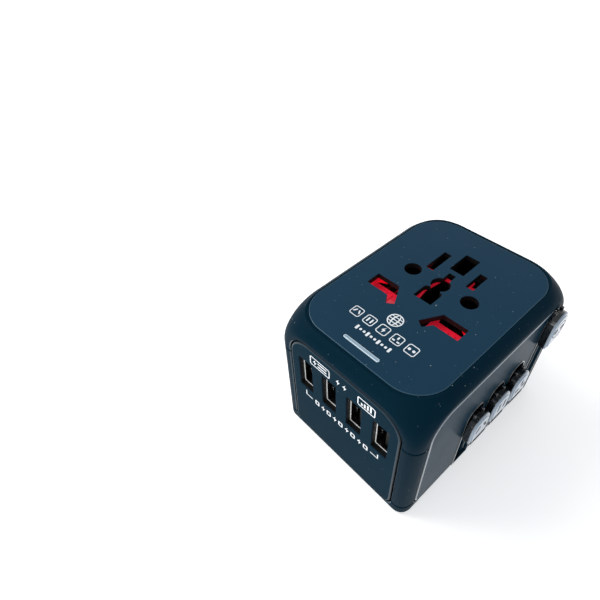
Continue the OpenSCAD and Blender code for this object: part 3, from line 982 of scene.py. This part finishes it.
    def back_shell(self) -> None:
        """Builds the back shell and the bosses for its screws."""
        low, high = self.plate_z + self.seam, self.seam_z - self.seam
        rings = [self.outer_level(low, self.edge), self.outer_level(low + self.edge),
                 self.outer_level(high - self.edge), self.outer_level(high, self.edge)]
        rings += [self.wall_level(high), self.wall_level(low)]
        self.skin(rings, True, "back_shell")
        bosses = Solid()
        top = Box.of("case_screws").high.z + 1
        for x, y in self.screw_places():
            outer, inner = self.boss_r
            tube = [circle(x, y, outer), hole(circle(x, y, inner))]
            bosses.plate(Facing.SOCKET, tube, self.plate_z + 0.2, top, [0.2, 0.1])
        self.add(bosses, "screw_bosses", [SHELL], "housing", "shell")

    def back_plate(self) -> None:
        """Builds the back plate: a tray with round lower edges and the pins' exits."""
        high, turn = self.plate_z - self.seam, self.tray_edge
        bends = [math.pi / 2 * k / 6 for k in range(7)]
        rings = [self.outer_level(turn * (1 - math.cos(a)), turn * (1 - math.sin(a))) for a in bends]
        rings += [self.outer_level(high - self.edge), self.outer_level(high, self.edge)]
        rings += [self.wall_level(high), self.wall_level(self.tray_edge)]
        self.skin(rings, False, "back_plate", self.exits())

    def exits(self) -> list[Solid]:
        """The holes that the pins come out of, and the screws' seats."""
        room = self.pin_room
        outlines: list[Loop] = []
        for pin in (PinPair.FLAT, PinPair.ANGLED, PinPair.SQUARE):
            slot = pin.section(1, room)
            outlines += [slot, mirrored(slot)]
        earth, bay = Box.of("uk_earth_pin"), Box.of("eu_carriage")
        outlines.append(round_rect(0, earth.middle.y, earth.size.x + room, earth.size.y + room, 0.25, 4))
        outlines.append(round_rect(0, bay.middle.y, self.bay_w + room, bay.size.y + room, 1.0))
        tools = [self.flared(loop, 0.0, self.exit_depth, 0.18) for loop in outlines]
        seat_r, seat_depth = self.head_seat
        for x, y in self.screw_places():
            tools.append(self.flared(circle(x, y, seat_r), 0.0, seat_depth, 0.1))
            tools.append(self.flared(circle(x, y, self.shank_r), 0.5, self.exit_depth, 0.0))
        return tools

    def flared(self, loop: Loop, low: float, high: float, flare: float) -> Solid:
        """A cutting tool for a hole in the back face, wider at its mouth."""
        levels = [(-flare - 0.5, low - 0.5), (-flare, low), (0.0, low + flare), (0.0, high)] if flare else \
            [(0.0, low - 0.5), (0.0, high)]
        rings = [[Facing.SOCKET.place(x, y, z) for x, y in grown(loop, d)] for d, z in levels]
        return Solid().tube(rings, closed=False)

    def build(self) -> None:
        """Builds the three shells and dresses the screws."""
        self.front_shell()
        self.back_shell()
        self.back_plate()
        self.dress("case_screws", STEEL, 0.05)


# ---- Pictograms ----


class Plug(Enum):
    """The four sets of pins, named by their shape."""

    ANGLED = "au"
    FLAT = "us"
    SQUARE = "uk"
    ROUND = "eu"

    def marks(self, size: float) -> list[Loop]:
        """Outlines of a small pictogram of the pins, centred on the origin.

        Args:
            size: Height of the pictogram.

        Returns:
            Its outlines.
        """
        s = size
        if self is Plug.ROUND:
            return [circle(-0.26 * s, 0, 0.16 * s, 20), circle(0.26 * s, 0, 0.16 * s, 20)]
        if self is Plug.FLAT:
            bar = round_rect(0, 0, 0.16 * s, 0.6 * s, 0.05 * s, 3)
            return [shifted(bar, -0.22 * s, 0), shifted(bar, 0.22 * s, 0)]
        if self is Plug.ANGLED:
            bar = round_rect(0, 0, 0.16 * s, 0.5 * s, 0.05 * s, 3)
            return [shifted(bar, -0.26 * s, 0.05 * s, -30), shifted(bar, 0.26 * s, 0.05 * s, 30)]
        bar = round_rect(0, 0, 0.32 * s, 0.18 * s, 0.05 * s, 3)
        return [shifted(bar, -0.28 * s, -0.22 * s), shifted(bar, 0.28 * s, -0.22 * s),
                round_rect(0, 0.22 * s, 0.18 * s, 0.36 * s, 0.05 * s, 3)]


def bolt(size: float) -> Loop:
    """Outline of a lightning bolt of a given height."""
    s = size
    return [(-0.02 * s, -0.5 * s), (0.3 * s, 0.08 * s), (0.04 * s, 0.08 * s), (0.16 * s, 0.5 * s),
            (-0.26 * s, -0.06 * s), (0.0, -0.06 * s)]


def print_on(facing: Facing, shapes: list[list[Loop]], out: float, thickness: float = 0.025) -> Solid:
    """A layer of print: thin plates that lie on a face.

    Args:
        facing: The way the face looks.
        shapes: Each shape as an outline and its holes.
        out: Where the face lies.
        thickness: Thickness of the ink.

    Returns:
        The printed layer.
    """
    layer = Solid()
    for loops in shapes:
        layer.plate(facing, loops, out - thickness, out + thickness, [thickness * 0.4], steps=1)
    return layer


# ---- Trim panels ----


@dataclass
class TrimPanels(Assembly):
    """The four panels let into the ends and long sides, and their print."""

    case: Case
    sunk: float = 0.04
    rim: float = 0.6
    channel_w: float = 6.6
    channel_d: float = 0.8
    slot_w: float = 3.4
    channel_low: float = 2.2
    short_top: float = 30.9
    long_top: float = 43.2

    def blank(self, facing: Facing, out: float, half: float, holes: list[Loop], sunk: float) -> Solid:
        """A panel with rounded edges and any holes."""
        outline = self.case.panel_outline(half, self.case.gap)
        # Material 1 on the wall and outer half of the edge is painted shade in the gap; material 2 on the
        # rest of the edge is a painted highlight.
        return Solid().plate(facing, [outline] + holes, out - self.case.panel_t + 0.02, out - sunk,
                             [self.rim, 0.22], wall_mark=1, rim_mark=2, dark_rim=True)

    def port_end(self) -> None:
        """Builds the charging-end panel with its four windows and print."""
        boxes = [Box.of(f"usb_shell_{i}") for i in range(1, 5)]
        holes = [hole(round_rect(b.middle.x, b.middle.z, b.size.x + 0.2, b.size.z + 0.2, 0.3, 4))
                 for b in boxes]
        panel = self.blank(Facing.PORTS, self.case.half_l, self.case.end_half, holes, self.sunk)
        self.add(panel, "charging_end_panel", [TRIM, BLACK_AND_GAP_SHADE, PANEL_EDGE_HIGHLIGHT], "housing", "trim_panel",
                 "usb_end_panel")
        top, low = boxes[0].high.z, boxes[0].low.z
        shapes: list[list[Loop]] = []
        for x, w in ((-7.9, 7.6), (8.9, 6.0)):
            y, h, line = top + 3.3, 3.6, 0.34
            shapes.append([round_rect(x, y, w, h, 0.6, 5),
                           hole(round_rect(x, y, w - 2 * line, h - 2 * line, 0.35, 5))])
        shapes += [[shifted(bolt(2.4), -9.9, top + 3.3)], [round_rect(-7.0, top + 3.9, 3.4, 0.45, 0.15, 3)],
                   [round_rect(-7.0, top + 2.7, 3.4, 0.45, 0.15, 3)]]
        shapes += [[round_rect(7.4 + 1.0 * k, top + 2.3 + 0.25 * k + 0.5, 0.55, 1.0 + 0.5 * k, 0.1, 3)]
                   for k in range(4)]
        shapes += [[shifted(bolt(2.6), -1.2 + 2.4 * k, top + 3.3)] for k in range(2)]
        bar = low - 3.4
        bracket = [(-14.4, bar + 2.0), (-14.4, bar - 0.2), (-11.6, bar - 0.2), (-11.6, bar + 0.15),
                   (-14.05, bar + 0.15), (-14.05, bar + 2.0)]
        shapes += [[hole(bracket)], [[(-x - 0.2, y) for x, y in bracket]]]
        for k in range(9):
            x = -9.6 + 2.4 * k
            if k % 2:
                shapes.append([shifted(bolt(2.8), x, bar)])
            else:
                shapes.append([round_rect(x, bar, 1.7, 2.2, 0.4, 4),
                               hole(round_rect(x, bar, 0.85, 1.35, 0.15, 4))])
        layer = print_on(Facing.PORTS, shapes, self.case.half_l - self.sunk)
        self.add(layer, "charging_end_print", [PRINT], "housing", "trim_panel")

    def plain_panels(self) -> None:
        """Builds the far-end and plain-side panels."""
        case = self.case
        for facing, out, half, sunk, name in (
                (Facing.FAR_END, case.half_l, case.end_half, self.sunk, "far_end"),
                (Facing.PLAIN_SIDE, case.half_w, case.side_half, 0.0, "plain_side")):
            self.add(self.blank(facing, out, half, [], sunk), f"{name}_skin", [TRIM, BLACK_AND_GAP_SHADE, PANEL_EDGE_HIGHLIGHT],
                     "housing", "trim_panel", f"{name}_panel")

    def channel_outline(self, y: float, width: float, top: float) -> Loop:
        """Outline of a channel or its slot: round above, open to the back face below."""
        r = width / 2
        return [(y + r, self.channel_low)] + arc(y, top - r, r, 0, 180, 20) + [(y - r, self.channel_low)]

    def channel(self, outline: Loop, flare: float, low_out: float, high_out: float) -> Solid:
        """A cutting tool for a channel or the slot in its floor."""
        levels = [(0.0, low_out), (0.0, high_out - flare), (-flare, high_out), (-flare - 0.5, high_out + 0.5)]
        rings = [[Facing.SLIDERS.place(a, b, o) for a, b in grown(outline, d)] for d, o in levels]
        return Solid().tube(rings, closed=False)

    def slider_side(self) -> None:
        """Builds the slider-side panel with its channels, slots, edging and guide ribs."""
        face = self.case.half_w
        skin = self.blank(Facing.SLIDERS, face, self.case.side_half, [], 0.0).build(
            "slider_side_skin", SIDE_TRIM.build(), BLACK_AND_GAP_SHADE.build(), SIDE_EDGE_HIGHLIGHT.build())
        floor = face - self.channel_d
        tools: list[Solid] = []
        edging = Solid()
        for plug in Plug:
            y = Box.of(f"{plug.value}_knob").middle.y
            top = self.long_top if plug is Plug.ROUND else self.short_top
            wide = self.channel_outline(y, self.channel_w, top)
            tools.append(self.channel(wide, 0.2, floor, face))
            tools.append(self.channel(self.channel_outline(y, self.slot_w, top - 2), 0.12, face - 3, floor))
            edging.plate(Facing.SLIDERS, [grown(wide, -0.55), hole(grown(wide, -0.12))], floor, face + 0.16,
                         [0.14, 0.1])
            for side in (-1, 1):
                rib = round_rect(y + side * 2.45, (self.channel_low + top) / 2 - 1, 0.36,
                                 top - self.channel_low - 4, 0.17, 4)
                edging.plate(Facing.SLIDERS, [rib], floor - 0.2, floor + 0.17, [0.14])
        cut(skin, tools)
        self.hand_over(skin, "housing", "trim_panel", "slider_side_panel")
        self.add(edging, "channel_edging", [GLOSS], "housing", "trim_panel")

    def build(self) -> None:
        """Builds all four panels."""
        self.port_end()
        self.plain_panels()
        self.slider_side()


# ---- Socket face ----


@dataclass
class SocketFace(Assembly):
    """The front panel with its openings, the lamp and the printed pictograms."""

    case: Case
    rim: float = 0.22
    hole_rim: float = 0.1
    icon: float = 3.3
    icon_y: float = -18.7
    emblem_y: float = -14.0
    key_r: float = 2.75
    key_low: float = 1.6
    key_high: float = 1.1

    def openings(self) -> list[Loop]:
        """Outlines of every opening in the front panel, anticlockwise."""
        angled = rounded([(7.5, -3.5), (4.1, -9.7), (6.0, -11.0), (7.8, -8.3), (15.1, -8.3), (15.1, -3.5)],
                         0.18, 3)
        round_hole = circle(9.5, 4.8, 2.5, 40)
        low, high = self.key_low, self.key_high
        low_turn, high_turn = (math.degrees(math.acos(x / self.key_r)) for x in (low, high))
        right = ([(2.85, -3.2)] + arc(1.75, 1.3, 1.1, 0, 80, 6) + [(low, 2.5)]
                 + arc(0, 5, self.key_r, -low_turn, high_turn, 14) + [(high, 10.6)])
        keyhole = right + [(-x, y) for x, y in reversed(right)]
        upright_left, upright_right = (round_rect(-6.35, 12.7, 2.4, 9.0, 0.15, 3),
                                       round_rect(6.35, 12.75, 2.4, 7.1, 0.15, 3))
        earth = round_rect(0, 16.35, 4.6, 8.3, 0.2, 3)
        lamp = round_rect(0, Box.of("indicator_light_pipe").middle.y, 12.14, 1.34, 0.66, 8)
        return [angled, mirrored(angled), keyhole, round_hole, mirrored(round_hole), upright_left,
                upright_right, earth, lamp]

    def panel(self) -> None:
        """Builds the front panel."""
        case = self.case
        outline = round_rect(0, 0, case.face_w, case.face_l, case.face_r, 16)
        loops = [outline] + [hole(loop) for loop in self.openings()]
        # Walls of the openings get material 1, painted shade; the outer rounded edge gets material 2, a
        # painted highlight.
        solid = Solid().plate(Facing.SOCKET, loops, case.seat_z, case.top_z, [self.rim, self.hole_rim],
                              wall_mark=1, rim_mark=2)
        self.add(solid, "socket_face_panel", [FACE, BLACK_AND_GAP_SHADE, FACE_EDGE_HIGHLIGHT], "housing", "face_panel",
                 "front_panel")

    def lamp(self) -> None:
        """Builds the indicator's light pipe."""
        box = Box.of("indicator_light_pipe")
        y = box.middle.y
        # The rounded top edge gets material 1, a painted highlight.
        solid = Solid().plate(Facing.SOCKET, [round_rect(0, y, 12, 1.2, 0.6, 8)], self.case.seat_z - 0.9,
                              box.high.z - 0.02, [0.26], rim_mark=1)
        solid.plate(Facing.SOCKET, [round_rect(0, y, box.size.x, box.size.y, 0.5, 4)], self.case.seat_z - 1,
                    self.case.seat_z - 0.05, [0.1])
        self.add(solid, "indicator_lamp", [LAMP, LAMP_EDGE_HIGHLIGHT], "housing", "lamp", "indicator_light_pipe")

    def pictograms(self) -> None:
        """Prints a globe and a row of plug pictograms."""
        shapes: list[list[Loop]] = []
        y, r, line = self.emblem_y, 2.25, 0.3
        shapes.append([circle(0, y, r), hole(circle(0, y, r - line))])
        oval = [(0.46 * px, py) for px, py in circle(0, 0, r - 0.15)]
        inner = [(0.26 * px / 0.9, py * 0.93) for px, py in circle(0, 0, r - 0.15)]
        shapes.append([shifted(oval, 0, y), hole(shifted(inner, 0, y))])
        for dy, half in ((0.0, 1.05), (0.95, 0.9), (-0.95, 0.9)):
            width = 2 * math.sqrt(r * r - dy * dy) * half * 0.93
            shapes.append([round_rect(0, y + dy, width, 0.26, 0.1, 3)])
        marks: list[list[Loop]] = [plug.marks(self.icon * 0.8) for plug in Plug]
        marks.insert(2, [bolt(self.icon * 0.66)])
        for number, loops in enumerate(marks):
            x = (number - 2) * 4.6
            inside = self.icon - 0.5
            shapes.append([round_rect(x, self.icon_y, self.icon, self.icon, 0.7, 5),
                           hole(round_rect(x, self.icon_y, inside, inside, 0.48, 5))])
            shapes += [[shifted(loop, x, self.icon_y)] for loop in loops]
        shapes += [[round_rect(-5.4 + 1.2 * k, -22.6, 0.7, 0.7 if k % 3 else 1.5, 0.2, 3)] for k in range(10)]
        layer = Solid()
        for number, loops in enumerate(shapes):
            top = self.case.top_z + 0.02 + 0.0006 * (number % 7)
            layer.plate(Facing.SOCKET, loops, self.case.top_z - 0.02, top, [0.008], steps=1)
        self.add(layer, "socket_face_print", [PRINT], "housing", "face_panel")

    def build(self) -> None:
        """Builds the face, its lamp and its print."""
        self.panel()
        self.lamp()
        self.pictograms()


@dataclass
class Shutter(Assembly):
    """The red safety shutter: a ribbed floor under the slots, rails at its edges, fingers at its back."""

    spring_x: float = 10.0
    spring_keep: float = 0.38
    floor: float = 0.8

    def build(self) -> None:
        """Builds the shutter and its springs."""
        box = Box.of("shutter")
        low, high = box.low.z, box.high.z
        half, front, back = box.size.x / 2, box.low.y, 12.0
        finger = [(7.2, back), (7.2, 13.8), (4.6, 13.8), (4.6, 16.0), (2.6, 16.0), (2.6, back)]
        outline = rounded([(-half, front), (half, front), (half, back)] + finger
                          + [(-x, y) for x, y in reversed(finger)] + [(-half, back)], 0.5, 4)
        window = [(15.7, 1.3), (7.5, 1.3), (5.8, -2.0), (6.4, -4.0), (15.7, -4.0)]
        round_way = [(4.4, 10.5), (4.4, 3.4), (6.4, 1.9), (12.2, 1.9), (14.2, 3.4), (14.2, 10.5)]
        centre = [(-2.5, 11.2), (-3.6, 4.0), (-3.0, 0.6), (-2.4, -10.4), (4.9, -10.4), (4.9, -2.6),
                  (3.2, -0.6), (3.2, 3.0), (1.9, 4.4), (1.9, 11.2)]
        loops = [outline, hole(rounded(centre, 0.25, 3))]
        for way in (list(reversed(window)), round_way):
            way = rounded(way, 0.25, 3)
            loops += [hole(way), hole(mirrored(way))]
        floor = low + self.floor
        solid = Solid().plate(Facing.SOCKET, loops, low, floor, [0.28, 0.28], back_rim=0.1, steps=5)
        for side in (-1, 1):
            rail = round_rect(side * (half - 0.7), (front + back) / 2, 1.0, back - front - 1.0, 0.3, 4)
            solid.plate(Facing.SOCKET, [rail], low + 0.3, high, [0.2])
            for x in (8.6, 10.6, 12.6):
                rib = round_rect(side * x, -6.7, 0.5, 3.8, 0.2, 4)
                solid.plate(Facing.SOCKET, [rib], floor - 0.3, floor + 0.34, [0.24])
        self.add(solid, "red_shutter", [RED], "shutter", "shutter", "shutter")
        self.springs()

    def springs(self) -> None:
        """Winds the two return springs."""
        box, wire, turns, steps = Box.of("shutter_springs"), 0.22, 9, 20
        r, start, length = box.size.z / 2 - wire, box.low.y, box.size.y - 0.1
        solid = Solid()
        for side in (-1, 1):
            rings = []
            for i in range(turns * steps + 1):
                turn = math.tau * i / steps
                rise = start + wire + (length - 2 * wire) * i / (turns * steps)
                out = Vector((math.cos(turn), 0, math.sin(turn)))
                middle = Vector((side * self.spring_x, rise, box.middle.z)) + out * r
                rings.append([(middle + out * wire * math.cos(a) + Vector((0, wire * math.sin(a), 0))) * MM
                              for a in (math.tau * k / 8 for k in range(8))])
            solid.tube(rings, closed=False)
        coils = self.add(solid, "return_springs", [STEEL], "housing", "steel", "shutter_springs")
        box.middle.z * MM
        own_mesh(coils)


# ---- Sliders ----


@dataclass
class Slider(Assembly):
    """One slider: knob, inlay, carriage and its set of pins.

    Fields that hold two lengths are a piece's width and height, a ring's outer and inner radius, and an
    eye's width and its height above the pin's tip.
    """

    plug: Plug
    edge: float = 0.45
    face_in: float = 0.8
    fin: Point = (0.7, 2.8)
    fin_y: float = 1.75
    boss: Point = (6.0, 5.6)
    neck: Point = (2.8, 5.2)
    ridges: int = 3
    mark_size: float = 6.0
    ring_r: Point = (3.1, 2.8)
    tip: float = 0.7
    bare_root: float = 3.4
    sleeve_from: float = 8.6
    round_sleeve_from: float = 9.0
    eye: Point = (3.0, 3.4)

    @property
    def body(self) -> str:
        """Name of the body that the slider's pieces ride on."""
        return f"{self.plug.value}_slider"

    def arch(self, y: float, low: float, w: float, h: float, inset: float) -> Loop:
        """Outline of a knob: round above, small round corners below."""
        r, foot = w / 2 - inset, 1.0 - inset * 0.6
        base = low + inset
        return (arc(y + r - foot, base + foot, foot, -90, 0, 5) + arc(y, low + h - w / 2, r, 0, 180, 28)
                + arc(y - r + foot, base + foot, foot, 180, 270, 5))

    def knob(self) -> None:
        """Builds the knob, its grip ridges and its pale inlay."""
        case = Box.of("back_shell").high.x
        box = Box.of(f"{self.plug.value}_knob")
        y, low, w, h = box.middle.y, box.low.z, box.size.y, box.size.z
        # The rounded front edge gets material 1, a painted highlight.
        solid = Solid().plate(Facing.SLIDERS, [self.arch(y, low, w, h, 0.0)], case + 0.3, box.high.x - 0.25,
                              [self.edge], back_rim=0.25, rim_mark=1)
        for side in (-1, 1):
            fin = round_rect(y + side * self.fin_y, low + h - 0.6, *self.fin, 0.3, 4)
            solid.plate(Facing.SLIDERS, [fin], case + 0.25, case + 1.2, [0.25])
        boss = round_rect(y, low + 4.3, *self.boss, 0.8, 5)
        solid.plate(Facing.SLIDERS, [boss], case - 0.6, case + 0.6, [0.1])
        neck = round_rect(y, low + 4.7, *self.neck, 0.3, 4)
        solid.plate(Facing.SLIDERS, [neck], box.low.x, case + 0.4, [0.1])
        for k in range(self.ridges):
            ridge = arc(y, low + h - w / 2, w / 2 + 0.02, 28 + 44 * k, 80 + 44 * k - 18, 6)
            back = [(px, pz - 0.35) for px, pz in reversed(ridge)]
            solid.plate(Facing.SLIDERS, [ridge + back], case + 0.5, box.high.x - 0.7, [0.1])
        name = self.plug.value
        self.add(solid, f"{name}_knob_body", [GLOSS, KNOB_EDGE_HIGHLIGHT], self.body, "knob", f"{name}_knob")
        face = Solid().plate(Facing.SLIDERS, [self.arch(y, low, w, h, self.face_in)], box.high.x - 0.9,
                             box.high.x - 0.03, [0.3])
        self.add(face, f"{name}_knob_inlay", [INLAY], self.body, "knob_face", f"{name}_knob_face")
        centre = low + h * 0.52
        shapes = [[shifted(loop, y, centre)] for loop in self.plug.marks(self.mark_size)]
        if self.plug is Plug.ROUND:
            outer, inner = self.ring_r
            shapes.append([circle(y, centre, outer), hole(circle(y, centre, inner))])
        mark = print_on(Facing.SLIDERS, shapes, box.high.x - 0.03)
        self.add(mark, f"{name}_knob_mark", [DARK_PRINT], self.body, "knob_face")

    def square_pin(self, loop: Loop, low: float, high: float, sleeve: float) -> Solid:
        """A flat or square pin with a chamfered tip and, if asked, a black sleeve.

        Args:
            loop: The pin's section.
            low: Height of its tip.
            high: Height of its root.
            sleeve: Height above which the pin is sleeved; the root's height for none.

        Returns:
            The pin.
        """
        levels = ((self.tip * 0.55, low), (self.tip * 0.2, low + self.tip * 0.5), (0.0, low + self.tip * 1.3),
                  (0.0, sleeve), (0.0, sleeve + 0.01), (0.0, high))
        rings = [[Facing.SOCKET.place(x, y, z) for x, y in grown(loop, d)] for d, z in levels]
        solid = Solid().tube(rings, closed=False)
        n = len(loop)
        for number in range(4 * n, 5 * n):
            solid.marks[number] = 1
        return solid

    def pins(self) -> None:
        """Builds the slider's pins."""
        name = self.plug.value
        if self.plug is Plug.ROUND:
            self.round_pins()
            return
        pair = PinPair[self.plug.name]
        box = Box.of(pair.node)
        x = pair.middle()[0]
        for side, label in ((1, "right"), (-1, "left")):
            loop = pair.section(side)
            bare = name == "us"
            sleeve = box.high.z - self.bare_root if bare else box.low.z + self.sleeve_from
            pin = self.square_pin(loop, box.low.z, box.high.z, sleeve)
            finish = NICKEL if bare else SLEEVE
            obj = pin.build(f"{name}_pin_{label}", NICKEL.build(), finish.build())
            if bare:
                wide, above = self.eye
                eye = shifted(round_rect(0, 0, wide, wide, 1.45, 8), box.middle.y, box.low.z + above)
                tool = Solid().plate(Facing.SLIDERS, [eye], side * x - 2, side * x + 2, [0.0], steps=1)
                cut(obj, [tool])
            self.hand_over(obj, self.body, "pin_metal", *([pair.node] if side == 1 else []))
        if self.plug is Plug.SQUARE:
            earth = Box.of("uk_earth_pin")
            loop = round_rect(0, earth.middle.y, earth.size.x, earth.size.y, 0.35, 4)
            pin = self.square_pin(loop, earth.low.z, earth.high.z, earth.high.z - self.bare_root)
            self.add(pin, "uk_earth_pin_bar", [NICKEL, NICKEL], self.body, "pin_metal", "uk_earth_pin")

    def round_pins(self) -> None:
        """Builds the two round pins with their sleeves and domed tips."""
        box = Box.of("eu_pins")
        r = box.size.y / 2
        for side, label in ((1, "right"), (-1, "left")):
            x, y = side * (box.high.x - r), box.middle.y
            levels = [(r * (1 - math.sin(a)) + 0.02, r * 0.7 * (1 - math.cos(a)))
                      for a in (math.pi / 2 * k / 8 for k in range(1, 9))]
            levels = [(d, box.low.z + z) for d, z in levels]
            sleeve = box.low.z + self.round_sleeve_from
            levels += [(0.02, sleeve), (0.02, sleeve + 0.05), (0.02, box.high.z)]
            base = circle(x, y, r, 40)
            rings = [[Facing.SOCKET.place(px, py, z) for px, py in grown(base, d)] for d, z in levels]
            solid = Solid().tube(rings, closed=False)
            n = len(base)
            for number in range(9 * n, 10 * n):
                solid.marks[number] = 1
            obj = solid.build(f"eu_pin_{label}", NICKEL.build(), SLEEVE.build())
            self.hand_over(obj, self.body, "pin_metal", *(["eu_pins"] if side == 1 else []))

    def build(self) -> None:
        """Builds the slider."""
        self.knob()
        self.pins()
        self.dress(f"{self.plug.value}_carriage", BLACK_AND_GAP_SHADE, 0.25)


# ---- Charging ports and inner parts ----


@dataclass
class Port(Assembly):
    """One USB-A port: a folded metal shell and its tongue."""

    number: int
    skin: float = 0.35
    tab_z: float = 3.2
    contact_pitch: float = 2.3

    def build(self) -> None:
        """Builds the shell, its spring tabs and the tongue with its contacts."""
        box = Box.of(f"usb_shell_{self.number}")
        x, z = box.middle.x, box.middle.z
        w, h = box.size.x, box.size.z
        front, back = -box.low.y, -box.high.y
        outer = round_rect(x, z, w, h, 0.5, 5)
        inner = hole(round_rect(x, z, w - 2 * self.skin, h - 2 * self.skin, 0.25, 5))
        solid = Solid().plate(Facing.PORTS, [outer, inner], back + 0.4, front - 0.12, [0.02], wall_mark=1,
                              steps=2)
        behind = len(solid.marks)
        lip = [grown(loop, 0.02) for loop in (outer, inner)]
        solid.plate(Facing.PORTS, lip, front - 0.14, front, [0.04], steps=2)
        # Material 2 on the front lip is a painted glint.
        solid.marks[behind:] = [2] * (len(solid.marks) - behind)
        solid.plate(Facing.PORTS, [round_rect(x, z, w - 0.2, h - 0.2, 0.4, 5)], back, back + 0.45, [0.05])
        for side in (-1, 1):
            for dz in (-self.tab_z, self.tab_z):
                tab = round_rect(x + side * (w / 2 - self.skin - 0.12), z + dz, 0.3, 1.8, 0.12, 4)
                solid.plate(Facing.PORTS, [tab], front - 7.0, front - 2.2, [0.12])
        self.add(solid, f"port_shell_{self.number}", [STEEL, SHADED, PORT_LIP_GLINT], "housing", "port_metal",
                 f"usb_shell_{self.number}")
        tongue = Box.of(f"usb_tongue_{self.number}")
        tx = tongue.middle.x
        loop = round_rect(tx, z, tongue.size.x, tongue.size.z, 0.25, 4)
        body = Solid().plate(Facing.PORTS, [loop], -tongue.high.y, -tongue.low.y, [0.3])
        self.add(body, f"port_tongue_{self.number}", [BLACK_AND_GAP_SHADE], "housing", "port_tongue",
                 f"usb_tongue_{self.number}")
        strips = Solid()
        for k in range(4):
            dz = (k - 1.5) * self.contact_pitch
            strip = round_rect(tx - tongue.size.x / 2, z + dz, 0.24, 1.0, 0.05, 3)
            strips.plate(Facing.PORTS, [strip], -tongue.high.y + 1, -tongue.low.y - 0.6, [0.04])
        self.add(strips, f"port_contacts_{self.number}", [GOLD], "housing", "port_tongue")


@dataclass
class InnerParts(Assembly):
    """Finishes of the parts inside the case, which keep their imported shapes."""

    finishes: dict[str, tuple[Finish, float]] = field(default_factory=lambda: {
        "socket_block": (BLACK_AND_GAP_SHADE, 0.15), "live_contact": (BRASS, 0.0), "neutral_contact": (BRASS, 0.0),
        "earth_contact": (BRASS, 0.0), "live_busbar": (BRASS, 0.0), "neutral_busbar": (BRASS, 0.0),
        "indicator_board": (BOARD, 0.0), "indicator_led": (LAMP, 0.1), "usb_board": (BOARD, 0.0),
        "power_board": (BOARD, 0.0), "transformer_core": (FERRITE, 0.2), "transformer_winding": (TAPE, 0.15),
        "mains_capacitor": (CAN, 0.4), "output_capacitor": (CAN, 0.4), "fuse": (GLASS, 0.1),
        "fuse_clips": (BRASS, 0.0)})

    def build(self) -> None:
        """Dresses every inner part."""
        for node, (finish, edge) in self.finishes.items():
            self.dress(node, finish, edge)


# ---- Studio ----


@dataclass
class Studio:
    """Floor, soft lights and camera."""

    focal: float = 28.633
    azimuth: float = 51.834
    elevation: float = 45.600
    roll: float = -4.627
    place: tuple[float, float, float] = (49.19, -83.60, 144.81)
    floor_size: float = 6.0
    horizon: float = 1.0
    zenith: float = 0.45

    def floor(self) -> None:
        """Lays a pale floor with a gentle unevenness."""
        mesh = bmesh.new()
        bmesh.ops.create_grid(mesh, x_segments=24, y_segments=24, size=self.floor_size)
        data = bpy.data.meshes.new("studio_floor")
        mesh.to_mesh(data)
        mesh.free()
        obj = bpy.data.objects.new("studio_floor", data)
        obj.location.z = -0.05 * MM
        bpy.context.scene.collection.objects.link(obj)
        finish = Finish("white_floor", (0.93, 0.93, 0.935), 0.6, specular=0.2, grain=2.0, mottle=300.0,
                        mottle_strength=0.01, glow=0.45)
        data.materials.append(finish.build())

    def light(self, name: str, at: Vector, size: float, power: float, tint: Colour) -> None:
        """Adds a square soft light that looks at the object.

        Args:
            name: The light's name.
            at: Its place in metres.
            size: Its side in metres.
            power: Its power in watts.
            tint: Its colour.
        """
        data = bpy.data.lights.new(name, "AREA")
        data.shape, data.size, data.energy, data.color = "SQUARE", size, power, tint
        obj = bpy.data.objects.new(name, data)
        bpy.context.scene.collection.objects.link(obj)
        obj.location = at
        obj.rotation_mode = "QUATERNION"
        obj.rotation_quaternion = (Vector((0, 0, 0.025)) - at).to_track_quat("-Z", "Y")

    def world(self) -> None:
        """Sets an even pale surrounding."""
        world = bpy.data.worlds.new("pale_room")
        world.use_nodes = True
        graph = Graph(world.node_tree)
        split = graph.add("SeparateXYZ", "Z", Vector=graph.add("TexCoord", "Generated"))
        fade = graph.spread(split, self.horizon, self.zenith, 0.15, 0.75)
        graph.fill(world.node_tree.nodes["Background"], Color=(0.95, 0.975, 1.0, 1.0), Strength=fade)
        bpy.context.scene.world = world
        bpy.context.scene.view_settings.view_transform = "Standard"

    def camera(self) -> None:
        """Places the camera."""
        a, e, r = (math.radians(v) for v in (self.azimuth, self.elevation, self.roll))
        back = Vector((math.sin(a) * math.cos(e), -math.cos(a) * math.cos(e), math.sin(e)))
        right = Vector((math.cos(a), math.sin(a), 0.0))
        up = back.cross(right)
        across = right * math.cos(r) + up * math.sin(r)
        above = up * math.cos(r) - right * math.sin(r)
        data = bpy.data.cameras.new("main_view")
        data.lens, data.sensor_width = self.focal, 36.0
        data.clip_start, data.clip_end = 0.005, 20.0
        obj = bpy.data.objects.new("main_view", data)
        bpy.context.scene.collection.objects.link(obj)
        axes = Matrix((across, above, back)).transposed().to_4x4()
        obj.matrix_world = Matrix.Translation(Vector(self.place) * MM) @ axes
        bpy.context.scene.camera = obj

    def build(self) -> None:
        """Builds the studio."""
        self.floor()
        self.world()
        self.light("key_softbox", Vector((-0.62, -0.30, 0.62)), 0.60, 6.0, (1.0, 0.99, 0.97))
        self.light("end_fill", Vector((0.15, -0.75, 0.45)), 0.5, 1.2, (0.95, 0.98, 1.0))
        self.camera()


def main() -> None:
    """Builds every sub-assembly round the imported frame."""
    logging.basicConfig(level=logging.INFO, format="%(message)s")
    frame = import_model()
    case = Case(frame)
    Studio().build()
    case.build()
    TrimPanels(frame, case).build()
    SocketFace(frame, case).build()
    Shutter(frame).build()
    for plug in Plug:
        Slider(frame, plug).build()
    for number in range(1, 5):
        Port(frame, number).build()
    InnerParts(frame).build()


if __name__ == "__main__":
    main()
